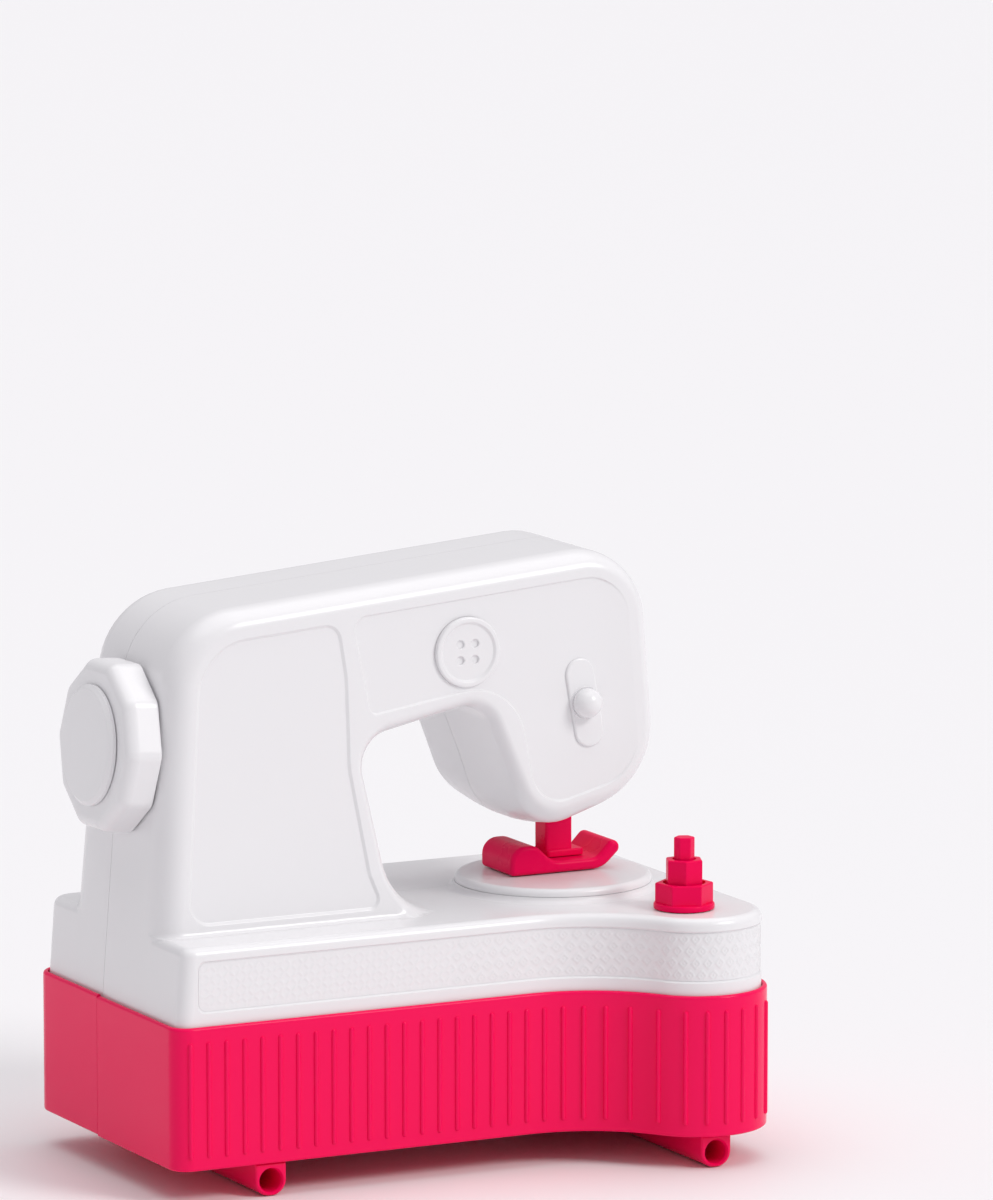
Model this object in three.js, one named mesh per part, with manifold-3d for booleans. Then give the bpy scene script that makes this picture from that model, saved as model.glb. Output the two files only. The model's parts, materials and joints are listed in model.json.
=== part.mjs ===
// A toy sewing machine: a white casing in two halves on a ribbed base with foot tubes, a ten-sided
// handwheel that clicks, a presser foot lifted by a ball knob, and three hexagon spindles, one in another.
// Millimetres. +X runs right along the front, +Y to the back, +Z up from the floor.

import * as THREE from 'three';
import { mergeVertices } from 'three/addons/utils/BufferGeometryUtils.js';
import Module from 'manifold-3d';

const wasm = await Module();
wasm.setup();

// Clearances
const gap = 0.3; // between neighbouring pieces
const slip = 0.4; // around what slides or turns
const over = 1; // how far a cut runs past a face, or a joined shape into its neighbour

// Base and bed, seen from above
const bedWidth = 216;
const bedDepth = 116.4;
const lobeRadius = 24.5;
const lobeForward = 32.5; // how far the round lobe stands in front of the straight front
const waveRadius = 45;
const frontCornerRadius = 6.7;
const rearCornerRadius = 10;
const bedArcSteps = 4;
const partingY = 64; // plane between the front and rear halves

// Heights
const footDrop = 11.4;
const baseHeight = 48.8;
const deckRise = 26.2;

// Base walls
const baseWall = 3.4;
const rimWall = 1.7;
const rimDepth = 4.7; // from the rim down to the ledge that carries the casing
const baseFlange = 5; // lip inside the bottom edge
const flangeThickness = 2;
const basePlateThickness = 3;
const ribPitch = 6.61; // across the front
const ribRadius = 0.8;
const ribTopGap = 5;
const ribBottomGap = 4.2;
const ribStart = 5.3; // from the left side to the first rib

// Foot tubes
const tubeRadius = 5.7;
const tubeBore = 4.2;
const tubeFlat = 0.5; // depth of the flat that stands on the floor
const leftTubeFrontInset = 1.5;
const rightTubeFrontInset = 4.5; // from the front of the lobe
const tubeRearInset = 9;
const tubeArcSteps = 7;
const leftTubeInset = 35.5; // from the bed's left side
const rightTubeInset = 26.9; // from its right side
const tenonWidth = 4;
const tenonInset = 18; // from the tube's ends

// Casing walls
const shellWall = 2.2;
const deckEdge = 3;
const panelDepth = 0.6;
const panelBottom = 4.7;
const panelHeight = 16.7;
const panelLeft = 9;

// Column, arm and head, seen from the front; heights are above the deck, insets from the bed's right side
const columnLean = 0.0767; // how far the left wall leans in, per millimetre of height
const columnProud = 0.1; // how far the column's left face stands out from the bed's wall below it
const topLeftHeight = 106.5;
const topLeftRadius = 28;
const headTopInset = 26.8;
const headTopHeight = 121.5;
const headTopRadius = 24;
const headRightInset = 21.5;
const headRightHeight = 34.5;
const headRightRadius = 27;
const headLeftInset = 69.5;
const headLeftHeight = 24.2;
const headLeftRadius = 18;
const throatRightInset = 88.1;
const throatRightHeight = 70.5;
const throatRightRadius = 10;
const throatLeftX = 79.5;
const throatLeftHeight = 60.3;
const throatLeftRadius = 12;
const columnFootX = 93;
const columnFootRadius = 25;
const bodyCentreY = 58.2;
const bodyHalfDepth = 36.7;
const bodyTaper = 0.00116; // share of the depth lost per millimetre of height
const bodyRoundIn = 7.5; // rounding of the front and rear edges, across the face
const bodyRoundDeep = 15; // and from front to back
const bodyRoundSteps = 3;
const flareRadius = 8; // hollow fillet between the column and the deck
const flareSteps = 3;

// Screws and their posts
const screwHeadRadius = 3;
const screwHeadHeight = 1.8;
const screwShankRadius = 1.4;
const screwHeadEdge = 1.1; // straight part of the head
const screwLength = 14; // depth of the hole from the seat
const screwTipGap = 2; // from the tip to the end of the hole
const postRadius = 4.2;
const slimPostRadius = 3.5;
const postSides = 8;
const holeSides = 6;
const seatSides = 8;
const seatDepth = 8; // from the parting plane to the seat of a casing screw
const columnScrews = [[24, 20], [26, 84]]; // from the left side, height
const headScrews = [[112, 94], [66, 104], [33, 92]]; // from the right side, height
const baseScrewInset = 14;
const lobeScrewInset = 16;
const lobeScrewY = 22;

// Handwheel and its shaft
const wheelHeight = 60.5;
const wheelY = 57.2;
const wheelSides = 10;
const wheelTurn = 1; // degrees, first corner above the level towards the front
const wheelRadius = 30;
const wheelThickness = 12.5;
const wheelEdge = 4;
const wheelStandOff = 0.6;
const capRadius = 20.5;
const capProud = 2.4;
const capEdge = 1;
const capSides = 28;
const hubRadius = 8;
const hubDepth = 6.5;
const hubFloor = 2.6;
const shaftRadius = 3;
const shaftSides = 12;
const bushWall = 1.8;
const bushFlange = 2.2;
const bushFlangeThickness = 1.5;
const bearingInset = 34; // from the outer face of the casing to the inner bearing
const bearingThickness = 3;
const bearingHalfHeight = 11;
const clipThickness = 0.9;
const clipGroove = 0.7;
const clipWidth = 2.6;
const clickTeeth = 12;
const clickRadius = 11;
const clickToothDepth = 2.2;
const clickThickness = 6;
const clickInset = 20;
const clickLeaf = 0.8;
const clickLeafWidth = 5;
const clickLeafLength = 34;
const clickLeafTop = 4;
const clickScrewDrop = 24;

// Badge on the arm
const badgeInset = 95;
const badgeHeight = 88.5;
const badgeRadius = 12.1;
const badgeProud = 1.2;
const badgePocket = 0.8;
const badgeRim = 1.6;
const badgeHole = 1.4;
const badgeHoleSpread = 2.75;
const badgeSides = 24;

// Needle plate on its round pedestal
const plateInset = 49.5;
const plateY = 49.5;
const plateRadius = 34.4;
const plateThickness = 2.5;
const plateEdge = 1.6;
const plateSweep = 0.3; // share of the edge at the middle of its rounding
const pedestalRise = 2.1;
const pedestalFlare = 2.6;
const pedestalSweep = 0.35; // share of flare and rise at the middle of the hollow edge
const plateSides = 36;
const platePegRadius = 3;
const platePegDrop = 9;
const platePegSpread = 22;

// Presser foot, its bar, guide, carriage and spring
const barInset = 46;
const barY = 56;
const barWidth = 10.2;
const barDepth = 9;
const barShoulderHeight = 60.5; // all heights above the deck
const barTopHeight = 78;
const barNeck = 1.2; // how much narrower the bar is above its shoulder, each side
const liftTravel = 7.5;
const soleThickness = 4;
const soleLeft = 22.2; // from the bar's middle to the heel
const soleRight = 14; // and to the bend of the toe
const toeReach = 20;
const toeRise = 9.6;
const toeRadius = 2.6;
const heelRise = 10.1;
const heelLength = 17;
const heelCrest = 7.8; // from the heel's end to the top of its hump
const footArcSteps = 6;
const soleDepth = 24;
const barFlange = 4;
const barFlangeThickness = 1.8;
const guideBottom = 40;
const guideHeight = 16;
const guideWall = 2.4;
const guideEarReach = 15.8;
const guideEarThickness = 3;
const guideEarHeight = 10;
const guideScrewReach = 12;
const carriageHeight = 14;
const carriageWall = 3.4;
const armWidth = 12;
const armHeight = 9;
const springRadius = 7.2;
const springWire = 0.55;
const springTurns = 6;
const springSteps = 8; // along each turn
const wireSides = 5;
const springSeatHeight = 101;
const springSeatRadius = 7.4;

// Ball knob on a sliding cover plate
const slotInset = 50.5;
const slotHeight = 67.9;
const slotTilt = 9; // degrees, top leaning left
const coverLength = 31;
const coverWidth = 11;
const coverThickness = 0.9;
const knobRadius = 5.1;
const ballSteps = 9;
const knobProud = 2.2; // ball centre in front of the face
const neckRadius = 2;
const retainerRadius = 5.4;
const retainerThickness = 1.6;
const pinRadius = 1.6;
const pinReach = 6;

// Hexagon spindles
const spindleShift = 4.5; // from the lobe's centre to the left
const spindleTurn = 38; // degrees
const flangeRadius = 10.45;
const flangeRise = 2;
const largeHex = 10; // corner radii
const largeHexRise = 6.8;
const largeBore = 7.3;
const largeSleeve = 9;
const largeDrop = 19; // lower ends, below the deck
const middleHex = 6.8;
const middleHexRise = 8.1;
const middleBore = 4.1;
const middleDrop = 24;
const smallHex = 3.6;
const smallHexRise = 7.6;
const smallDrop = 28;
const spindleBossWall = 2.2;
const spindleBossDrop = 15;
const ringGroove = 0.8;
const ringWidth = 2.6;
const ringThickness = 1.2;
const ringLift = 1.2; // from a spindle's lower end up to its ring
const washerRadius = 6;
const washerThickness = 1.2;

// Derived levels and places
const baseBottom = footDrop;
const baseTop = baseBottom + baseHeight;
const deckTop = baseTop + deckRise;
const deckInset = rimWall + gap;
const skirtBottom = baseTop - rimDepth + gap;
const deckUnder = deckTop - shellWall;
const plateTop = deckTop + pedestalRise + gap + plateThickness;
const lobeX = bedWidth - lobeRadius;
const lobeY = lobeRadius - lobeForward;
const frontPlane = partingY - gap / 2;
const rearPlane = partingY + gap / 2;
const far = 4 * bedWidth; // larger than the object
const columnLeft = deckInset + columnLean * (deckTop - skirtBottom) - columnProud;
const headTopX = bedWidth - headTopInset;
const headRightX = bedWidth - headRightInset;
const headLeftX = bedWidth - headLeftInset;
const throatRightX = bedWidth - throatRightInset;
const badgeX = bedWidth - badgeInset;
const plateX = bedWidth - plateInset;
const barX = bedWidth - barInset;
const slotX = bedWidth - slotInset;
const spindleX = lobeX - spindleShift;
const spindleY = lobeY;
const tubeRear = bedDepth - tubeRearInset;
const bodyScrewSpots = [
  ...columnScrews,
  ...headScrews.map(([inset, height]) => [bedWidth - inset, height]),
];
const above = (height) => deckTop + height;
const radians = THREE.MathUtils.degToRad;

// Solids from geometry, and back
const weldTolerance = 1e-4;

function solidOf(geometry) {
  const bare = geometry.clone();
  bare.deleteAttribute('normal');
  bare.deleteAttribute('uv');
  const welded = mergeVertices(bare, weldTolerance);
  const corners = welded.index.array;
  const point = new THREE.Vector3();
  const other = new THREE.Vector3();
  const third = new THREE.Vector3();
  const kept = [];
  let volume = 0;
  for (let i = 0; i < corners.length; i += 3) {
    const [a, b, c] = [corners[i], corners[i + 1], corners[i + 2]];
    if (a === b || b === c || c === a) continue;
    kept.push(a, b, c);
    point.fromBufferAttribute(welded.attributes.position, a);
    other.fromBufferAttribute(welded.attributes.position, b);
    third.fromBufferAttribute(welded.attributes.position, c);
    volume += point.dot(other.cross(third));
  }
  if (volume < 0) kept.reverse();
  return new wasm.Manifold(new wasm.Mesh({
    numProp: 3,
    vertProperties: new Float32Array(welded.attributes.position.array),
    triVerts: new Uint32Array(kept),
  }));
}

function geometryOf(solid) {
  const mesh = solid.getMesh();
  const geometry = new THREE.BufferGeometry();
  geometry.setAttribute('position', new THREE.BufferAttribute(mesh.vertProperties, 3));
  geometry.setIndex(new THREE.BufferAttribute(mesh.triVerts, 1));
  geometry.computeVertexNormals();
  return geometry;
}

const join = (...solids) => solids.flat().reduce((all, next) => all.add(next));

function block(x0, x1, y0, y1, z0, z1, pose) {
  const box = new THREE.BoxGeometry(x1 - x0, y1 - y0, z1 - z0);
  box.translate((x0 + x1) / 2, (y0 + y1) / 2, (z0 + z1) / 2);
  if (pose) box.applyMatrix4(pose);
  return solidOf(box);
}

// The outline as a polygon without doubled points, each arc in the given number of steps
function sampled(shape, arcSteps) {
  const points = shape.getPoints(arcSteps);
  const last = (i) => points.at(i - 1);
  return new THREE.Shape(points.filter((point, i) => point.distanceTo(last(i)) > gap / 10));
}

// A prism of an outline, standing from z0 to z1
function prism(shape, z0, z1, pose, arcSteps = 4) {
  const body = new THREE.ExtrudeGeometry(sampled(shape, arcSteps), { depth: z1 - z0, bevelEnabled: false });
  body.translate(0, 0, z0);
  if (pose) body.applyMatrix4(pose);
  return solidOf(body);
}

// A round or many-sided drum about a line parallel to Z
function drum(x, y, radius, z0, z1, pose, sides = 16) {
  const body = new THREE.CylinderGeometry(radius, radius, z1 - z0, sides);
  body.rotateX(Math.PI / 2);
  body.translate(x, y, (z0 + z1) / 2);
  if (pose) body.applyMatrix4(pose);
  return solidOf(body);
}

// A body of revolution about Z through x, y: profile is a list of [radius, z], closed on the axis
function turned(profile, x, y, pose, sides = 16) {
  const body = new THREE.LatheGeometry(profile.map(([r, z]) => new THREE.Vector2(r, z)), sides);
  body.rotateX(Math.PI / 2);
  body.translate(x, y, 0);
  if (pose) body.applyMatrix4(pose);
  return solidOf(body);
}

function ring(x, y, inner, outer, z0, z1, pose, sides = 16) {
  const hole = drum(x, y, inner, z0 - 1, z1 + 1, pose, sides);
  return drum(x, y, outer, z0, z1, pose, sides).subtract(hole);
}

const place = (x, y, z) => new THREE.Matrix4().makeTranslation(x, y, z);

// Stands a drawing of X and height upright, and runs its depth to the front
const xzPlane = new THREE.Matrix4().makeBasis(
  new THREE.Vector3(1, 0, 0),
  new THREE.Vector3(0, 0, 1),
  new THREE.Vector3(0, -1, 0),
);

// Turns a solid drawn along Z so that its Z axis runs along +Y, keeping X
const alongY = new THREE.Matrix4().makeBasis(
  new THREE.Vector3(1, 0, 0),
  new THREE.Vector3(0, 0, -1),
  new THREE.Vector3(0, 1, 0),
);
const rodY = (x, z, radius, y0, y1, sides) => drum(x, -z, radius, y0, y1, alongY, sides);

// Outlines
// A closed outline through corners [x, y, radius], each rounded by its own radius
function roundedOutline(corners) {
  const shape = new THREE.Shape();
  corners.forEach(([x, y, radius], i) => {
    const before = corners.at(i - 1);
    const after = corners[(i + 1) % corners.length];
    const arriving = new THREE.Vector2(x - before[0], y - before[1]).normalize();
    const leaving = new THREE.Vector2(after[0] - x, after[1] - y).normalize();
    const turn = Math.atan2(arriving.cross(leaving), arriving.dot(leaving));
    const start = new THREE.Vector2(x, y).addScaledVector(arriving, -radius * Math.tan(Math.abs(turn) / 2));
    if (i === 0) shape.moveTo(start.x, start.y);
    else shape.lineTo(start.x, start.y);
    if (radius === 0) return;
    const side = Math.sign(turn);
    const inwards = new THREE.Vector2(-arriving.y, arriving.x);
    const centre = start.clone().addScaledVector(inwards, side * radius);
    const from = Math.atan2(start.y - centre.y, start.x - centre.x);
    shape.absarc(centre.x, centre.y, radius, from, from + turn, turn < 0);
  });
  shape.closePath();
  return shape;
}

// The same corners, moved inwards (the outline runs anticlockwise)
function insetCorners(corners, inset) {
  return corners.map(([x, y, radius], i) => {
    const before = corners.at(i - 1);
    const after = corners[(i + 1) % corners.length];
    const arriving = new THREE.Vector2(x - before[0], y - before[1]).normalize();
    const leaving = new THREE.Vector2(after[0] - x, after[1] - y).normalize();
    const bend = 1 + arriving.dot(leaving);
    const moved = new THREE.Vector2(-arriving.y - leaving.y, arriving.x + leaving.x);
    moved.multiplyScalar(inset / bend);
    const side = Math.sign(arriving.cross(leaving));
    const newRadius = radius === 0 ? 0 : Math.max(radius - side * inset, gap);
    return [x + moved.x, y + moved.y, newRadius];
  });
}

// The straight front, the wave and the lobe of the bed, drawn from left to right
const waveX = lobeX - Math.sqrt((waveRadius + lobeRadius) ** 2 - (waveRadius + lobeY) ** 2);
const waveEnd = Math.atan2(lobeY + waveRadius, lobeX - waveX);
function traceFront(path, inset) {
  path.lineTo(waveX, inset);
  path.absarc(waveX, -waveRadius, waveRadius + inset, Math.PI / 2, waveEnd, true);
  path.absarc(lobeX, lobeY, lobeRadius - inset, waveEnd - Math.PI, 0, false);
}

function bedOutline(inset) {
  const shape = new THREE.Shape();
  const frontRadius = Math.max(frontCornerRadius - inset, gap);
  const rearRadius = Math.max(rearCornerRadius - inset, gap);
  const right = bedWidth - inset;
  const rear = bedDepth - inset;
  shape.moveTo(inset + frontRadius, inset);
  traceFront(shape, inset);
  shape.lineTo(right, rear - rearRadius);
  shape.absarc(right - rearRadius, rear - rearRadius, rearRadius, 0, Math.PI / 2, false);
  shape.lineTo(inset + rearRadius, rear);
  shape.absarc(inset + rearRadius, rear - rearRadius, rearRadius, Math.PI / 2, Math.PI, false);
  shape.lineTo(inset, inset + frontRadius);
  shape.absarc(inset + frontRadius, inset + frontRadius, frontRadius, Math.PI, 1.5 * Math.PI, false);
  return shape;
}

const obround = (length, width) => roundedOutline([
  [-width / 2, -length / 2, width / 2 - gap / 10],
  [width / 2, -length / 2, width / 2 - gap / 10],
  [width / 2, length / 2, width / 2 - gap / 10],
  [-width / 2, length / 2, width / 2 - gap / 10],
]);

function polygon(sides, radius, turn = 0) {
  const shape = new THREE.Shape();
  for (let i = 0; i < sides; i += 1) {
    const angle = radians(turn) + (2 * Math.PI * i) / sides;
    const corner = new THREE.Vector2(radius * Math.cos(angle), radius * Math.sin(angle));
    if (i === 0) shape.moveTo(corner.x, corner.y);
    else shape.lineTo(corner.x, corner.y);
  }
  shape.closePath();
  return shape;
}

// Casing
const leftFaceX = (height) => columnLeft + columnLean * height;
const bodySink = 3 * bodyRoundIn; // how far the column's outline reaches below the deck
const filletDip = 0.2;
const footEndX = columnFootX + columnFootRadius + 2 * bodyRoundIn;
const bodyCorners = [
  [leftFaceX(-bodySink), above(-bodySink), 0],
  [footEndX, above(-bodySink), 0],
  [footEndX, above(-filletDip), 0],
  [columnFootX, above(-filletDip), columnFootRadius],
  [throatLeftX, above(throatLeftHeight), throatLeftRadius],
  [throatRightX, above(throatRightHeight), throatRightRadius],
  [headLeftX, above(headLeftHeight), headLeftRadius],
  [headRightX, above(headRightHeight), headRightRadius],
  [headTopX, above(headTopHeight), headTopRadius],
  [leftFaceX(topLeftHeight), above(topLeftHeight), topLeftRadius],
];

// Depth from the middle plane at a height above the deck
const taperAt = (height) => 1 - bodyTaper * height;
const frontFaceY = (height) => bodyCentreY - bodyHalfDepth * taperAt(height);
const rearFaceY = (height) => bodyCentreY + bodyHalfDepth * taperAt(height);

// Column, arm and head as one rounded slab, tapered towards the top
function bodySlab(inset, steps) {
  const roundIn = Math.max(bodyRoundIn - inset, 1);
  const roundDeep = Math.max(bodyRoundDeep - inset, 1);
  const depth = 2 * (bodyHalfDepth - inset - roundDeep);
  const slab = new THREE.ExtrudeGeometry(sampled(roundedOutline(insetCorners(bodyCorners, inset)), 3), {
    depth,
    bevelEnabled: true,
    bevelThickness: roundDeep,
    bevelSize: roundIn,
    bevelOffset: -roundIn,
    bevelSegments: steps,
  });
  slab.translate(0, 0, -depth / 2);
  slab.applyMatrix4(xzPlane);
  const position = slab.attributes.position;
  for (let i = 0; i < position.count; i += 1) {
    const height = position.getZ(i) - deckTop;
    position.setY(i, bodyCentreY + position.getY(i) * taperAt(height));
  }
  return solidOf(slab);
}

// Hollow fillet where the column meets the deck: straight along one face, turned round its left corner
function columnFlare(face, outward) {
  const profile = [];
  for (let i = 0; i <= flareSteps; i += 1) {
    const angle = (i / flareSteps) * (Math.PI / 2);
    const reach = flareRadius * (1 - Math.sin(angle));
    profile.push([reach, deckTop - filletDip + flareRadius * (1 - Math.cos(angle))]);
  }
  const bottom = [-bodyRoundDeep, deckTop - 1.5 * deckEdge];
  const section = [bottom, [flareRadius, bottom[1]], ...profile, [-bodyRoundDeep, profile.at(-1)[1]]];
  const shape = new THREE.Shape(section.map(([reach, z]) => new THREE.Vector2(face + outward * reach, z)));
  const alongX = new THREE.Matrix4().makeBasis(
    new THREE.Vector3(0, 1, 0),
    new THREE.Vector3(0, 0, 1),
    new THREE.Vector3(1, 0, 0),
  );
  const cornerX = columnLeft + bodyRoundIn;
  const cornerPose = place(cornerX, face - outward * bodyRoundDeep, 0)
    .scale(new THREE.Vector3(bodyRoundIn / bodyRoundDeep, 1, 1));
  const corner = turned(section.map(([reach, z]) => [bodyRoundDeep + reach, z]), 0, 0, cornerPose, 24);
  const outline = prism(roundedOutline(bodyCorners), -bedDepth, bedDepth, xzPlane);
  return prism(shape, cornerX, footEndX, alongX)
    .add(corner)
    .intersect(outline);
}

// Leans the left wall of a bed-shaped solid as the column's left face leans
function leaned(geometry) {
  const position = geometry.attributes.position;
  for (let i = 0; i < position.count; i += 1) {
    const x = position.getX(i);
    const rise = position.getZ(i) - skirtBottom;
    if (x < bedWidth / 2) position.setX(i, x + columnLean * rise);
  }
  return solidOf(geometry);
}

function deckPrism(inset, z0, z1) {
  const outline = sampled(bedOutline(inset), bedArcSteps);
  const body = new THREE.ExtrudeGeometry(outline, { depth: z1 - z0, bevelEnabled: false });
  body.translate(0, 0, z0);
  return leaned(body);
}

function deckBlock() {
  const skirt = deckPrism(deckInset, skirtBottom, deckTop - 1.5 * deckEdge);
  const top = new THREE.ExtrudeGeometry(sampled(bedOutline(deckInset), bedArcSteps), {
    depth: deckEdge,
    bevelEnabled: true,
    bevelThickness: deckEdge,
    bevelSize: deckEdge,
    bevelOffset: -deckEdge,
    bevelSegments: 3,
  });
  top.translate(0, 0, deckTop - 2 * deckEdge);
  const pedestal = turned([
    [0, deckTop - shellWall / 2],
    [plateRadius + pedestalFlare, deckTop - shellWall / 2],
    [plateRadius + pedestalFlare, deckTop + filletDip],
    [plateRadius + pedestalSweep * pedestalFlare, deckTop + pedestalSweep * pedestalRise],
    [plateRadius, deckTop + pedestalRise],
    [0, deckTop + pedestalRise],
  ], plateX, plateY, undefined, plateSides);
  return join(skirt, leaned(top), pedestal);
}

// Frame of the handwheel: X to the front, Y up the left face, Z outwards along the shaft, zero on that face
const wheelLean = Math.atan(columnLean);
const wheelPose = new THREE.Matrix4().makeBasis(
  new THREE.Vector3(0, -1, 0),
  new THREE.Vector3(Math.sin(wheelLean), 0, Math.cos(wheelLean)),
  new THREE.Vector3(-Math.cos(wheelLean), 0, Math.sin(wheelLean)),
).setPosition(leftFaceX(wheelHeight), wheelY, above(wheelHeight));

// Frame of the knob's slot: Y up along the slot, Z out of the head's front face
const faceLean = Math.atan(bodyHalfDepth * bodyTaper);
const slotUp = new THREE.Vector3(-Math.sin(radians(slotTilt)), 0, Math.cos(radians(slotTilt)))
  .applyAxisAngle(new THREE.Vector3(1, 0, 0), -faceLean);
const slotOut = new THREE.Vector3(0, -Math.cos(faceLean), Math.sin(faceLean));
const slotPose = new THREE.Matrix4()
  .makeBasis(slotUp.clone().cross(slotOut), slotUp, slotOut)
  .setPosition(slotX, frontFaceY(slotHeight), above(slotHeight));

const bushRadius = shaftRadius + slip + bushWall;
const screwHole = screwShankRadius + gap;
const screwSeatHole = screwHeadRadius + 2 * gap;
const baseScrewSpots = [
  [baseScrewInset, baseScrewInset],
  [baseScrewInset, bedDepth - baseScrewInset],
  [bedWidth - baseScrewInset, bedDepth - baseScrewInset],
  [bedWidth - lobeScrewInset, lobeScrewY],
];
const postBottom = baseBottom + basePlateThickness + gap;
const bothSides = [-1, 1];
const platePegs = bothSides.map((side) => [plateX + side * platePegSpread, plateY - platePegSpread / 2]);
const platePegHole = platePegRadius + gap;
const guideMiddle = above(guideBottom + guideHeight / 2);
const guideScrews = bothSides.map((side) => [barX + side * guideScrewReach, guideMiddle]);
const guideFront = barY - barDepth / 2 - slip - guideWall;

// Frame of the click spring's screw: Z to the front, zero on the shaft's axis
const clickMiddle = -clickInset - clickThickness / 2;
const clickScrewPose = wheelPose.clone()
  .multiply(place(0, -clickScrewDrop, clickMiddle))
  .multiply(new THREE.Matrix4().makeRotationY(Math.PI / 2));
const clickSeat = clickRadius + slip + clickLeaf;
const pastWall = 1.3 * bodyHalfDepth; // beyond the front wall, measured from the shaft

// The presser bar's section, larger or smaller all round, between two levels
const barBlock = (grow, z0, z1) => block(
  barX - barWidth / 2 - grow, barX + barWidth / 2 + grow,
  barY - barDepth / 2 - grow, barY + barDepth / 2 + grow,
  z0, z1,
);

// Posts and bearings moulded on the inside of the casing
function casingPosts() {
  const posts = [];
  for (const [x, height] of bodyScrewSpots) {
    posts.push(rodY(x, above(height), postRadius, frontFaceY(height), rearFaceY(height), postSides));
  }
  for (const [x, y] of baseScrewSpots) {
    posts.push(drum(x, y, postRadius, postBottom, deckTop - over, undefined, postSides));
  }
  for (const [x, z] of guideScrews) {
    posts.push(rodY(x, z, slimPostRadius, frontFaceY(0), guideFront - gap, postSides));
  }
  posts.push(drum(0, 0, slimPostRadius, clickSeat + gap, pastWall, clickScrewPose, postSides));
  posts.push(block(
    wheelY - frontPlane, pastWall, -bearingHalfHeight, bearingHalfHeight,
    -bearingInset - bearingThickness, -bearingInset, wheelPose,
  ));
  posts.push(drum(barX, barY, springSeatRadius, above(springSeatHeight), above(headTopHeight)));
  const bossRadius = largeSleeve + slip + spindleBossWall;
  posts.push(drum(spindleX, spindleY, bossRadius, deckTop - spindleBossDrop, deckTop - over));
  return posts;
}

// Holes for screws, shafts, pegs and bars
function casingHoles() {
  const holes = [];
  for (const [x, height] of bodyScrewSpots) {
    const z = above(height);
    holes.push(rodY(x, z, screwHole, partingY - screwLength, partingY + seatDepth + over, holeSides));
    holes.push(rodY(x, z, screwSeatHole, partingY + seatDepth, bedDepth, seatSides));
  }
  for (const [x, y] of baseScrewSpots) {
    holes.push(drum(x, y, screwHole, postBottom - over, postBottom + screwLength, undefined, holeSides));
  }
  for (const [x, z] of guideScrews) {
    holes.push(rodY(x, z, screwHole, guideFront - screwLength, guideFront, holeSides));
  }
  for (const [x, y] of platePegs) holes.push(drum(x, y, platePegHole, deckUnder - over, plateTop));
  const bearingEnd = -bearingInset - 2 * bearingThickness;
  holes.push(drum(0, 0, bushRadius + gap, bearingEnd, bearingThickness, wheelPose, shaftSides));
  holes.push(drum(0, 0, screwHole, clickSeat, clickSeat + screwLength, clickScrewPose, holeSides));
  holes.push(drum(spindleX, spindleY, largeSleeve + slip, deckTop - spindleBossDrop - over, deckTop + over));
  holes.push(barBlock(slip, above(headLeftHeight) - guideWall, above(guideBottom) - over));
  const track = obround(liftTravel + 2 * (neckRadius + slip), 2 * (neckRadius + slip));
  const trackPose = slotPose.clone().multiply(place(0, liftTravel / 2, 0));
  holes.push(prism(track, -2 * shellWall, over, trackPose));
  const badgeFloor = frontFaceY(badgeHeight) + badgePocket;
  holes.push(rodY(badgeX, above(badgeHeight), badgeRadius + gap, 0, badgeFloor, badgeSides));
  return holes;
}

// Shallow panel along the front of the bed
function panelBand() {
  const z0 = baseTop + panelBottom;
  const z1 = z0 + panelHeight;
  const band = prism(bedOutline(0), z0, z1)
    .subtract(prism(bedOutline(deckInset + panelDepth), z0 - over, z1 + over));
  const straight = block(panelLeft, lobeX, -far, deckInset + 2 * panelDepth, z0 - over, z1 + over);
  const lobe = block(panelLeft, far, -far, lobeY, z0 - over, z1 + over);
  return band.intersect(straight.add(lobe));
}

function casing() {
  const flares = [columnFlare(frontFaceY(0), -1), columnFlare(rearFaceY(0), 1)];
  const outside = join(deckBlock(), bodySlab(0, bodyRoundSteps), flares);
  const inner = deckInset + shellWall;
  const hollow = deckPrism(inner, skirtBottom - over, deckUnder).add(bodySlab(shellWall, 1));
  const posts = join(casingPosts()).intersect(outside.add(prism(bedOutline(inner), 0, deckUnder)));
  return outside.subtract(hollow)
    .add(posts)
    .subtract(panelBand())
    .subtract(join(casingHoles()));
}

const frontHalf = block(-far, far, -far, frontPlane, -far, far);
const rearHalf = block(-far, far, rearPlane, far, -far, far);

// Base; its front face runs straight, waves out and rounds the lobe
function frontYAt(x) {
  if (x < frontCornerRadius) {
    return frontCornerRadius - Math.sqrt(frontCornerRadius ** 2 - (frontCornerRadius - x) ** 2);
  }
  if (x < waveX) return 0;
  if (x < waveX + waveRadius * Math.cos(waveEnd)) {
    return Math.sqrt(waveRadius ** 2 - (x - waveX) ** 2) - waveRadius;
  }
  return lobeY - Math.sqrt(lobeRadius ** 2 - (x - lobeX) ** 2);
}

function baseRibs() {
  const height = baseHeight - ribTopGap - ribBottomGap;
  const ribs = [];
  for (let x = ribStart; x < bedWidth - ribRadius; x += ribPitch) {
    const rib = new THREE.CapsuleGeometry(ribRadius, height - 2 * ribRadius, 1, 6);
    rib.rotateX(Math.PI / 2);
    rib.translate(x, frontYAt(x), baseBottom + ribBottomGap + height / 2);
    ribs.push(solidOf(rib));
  }
  return ribs;
}

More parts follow.
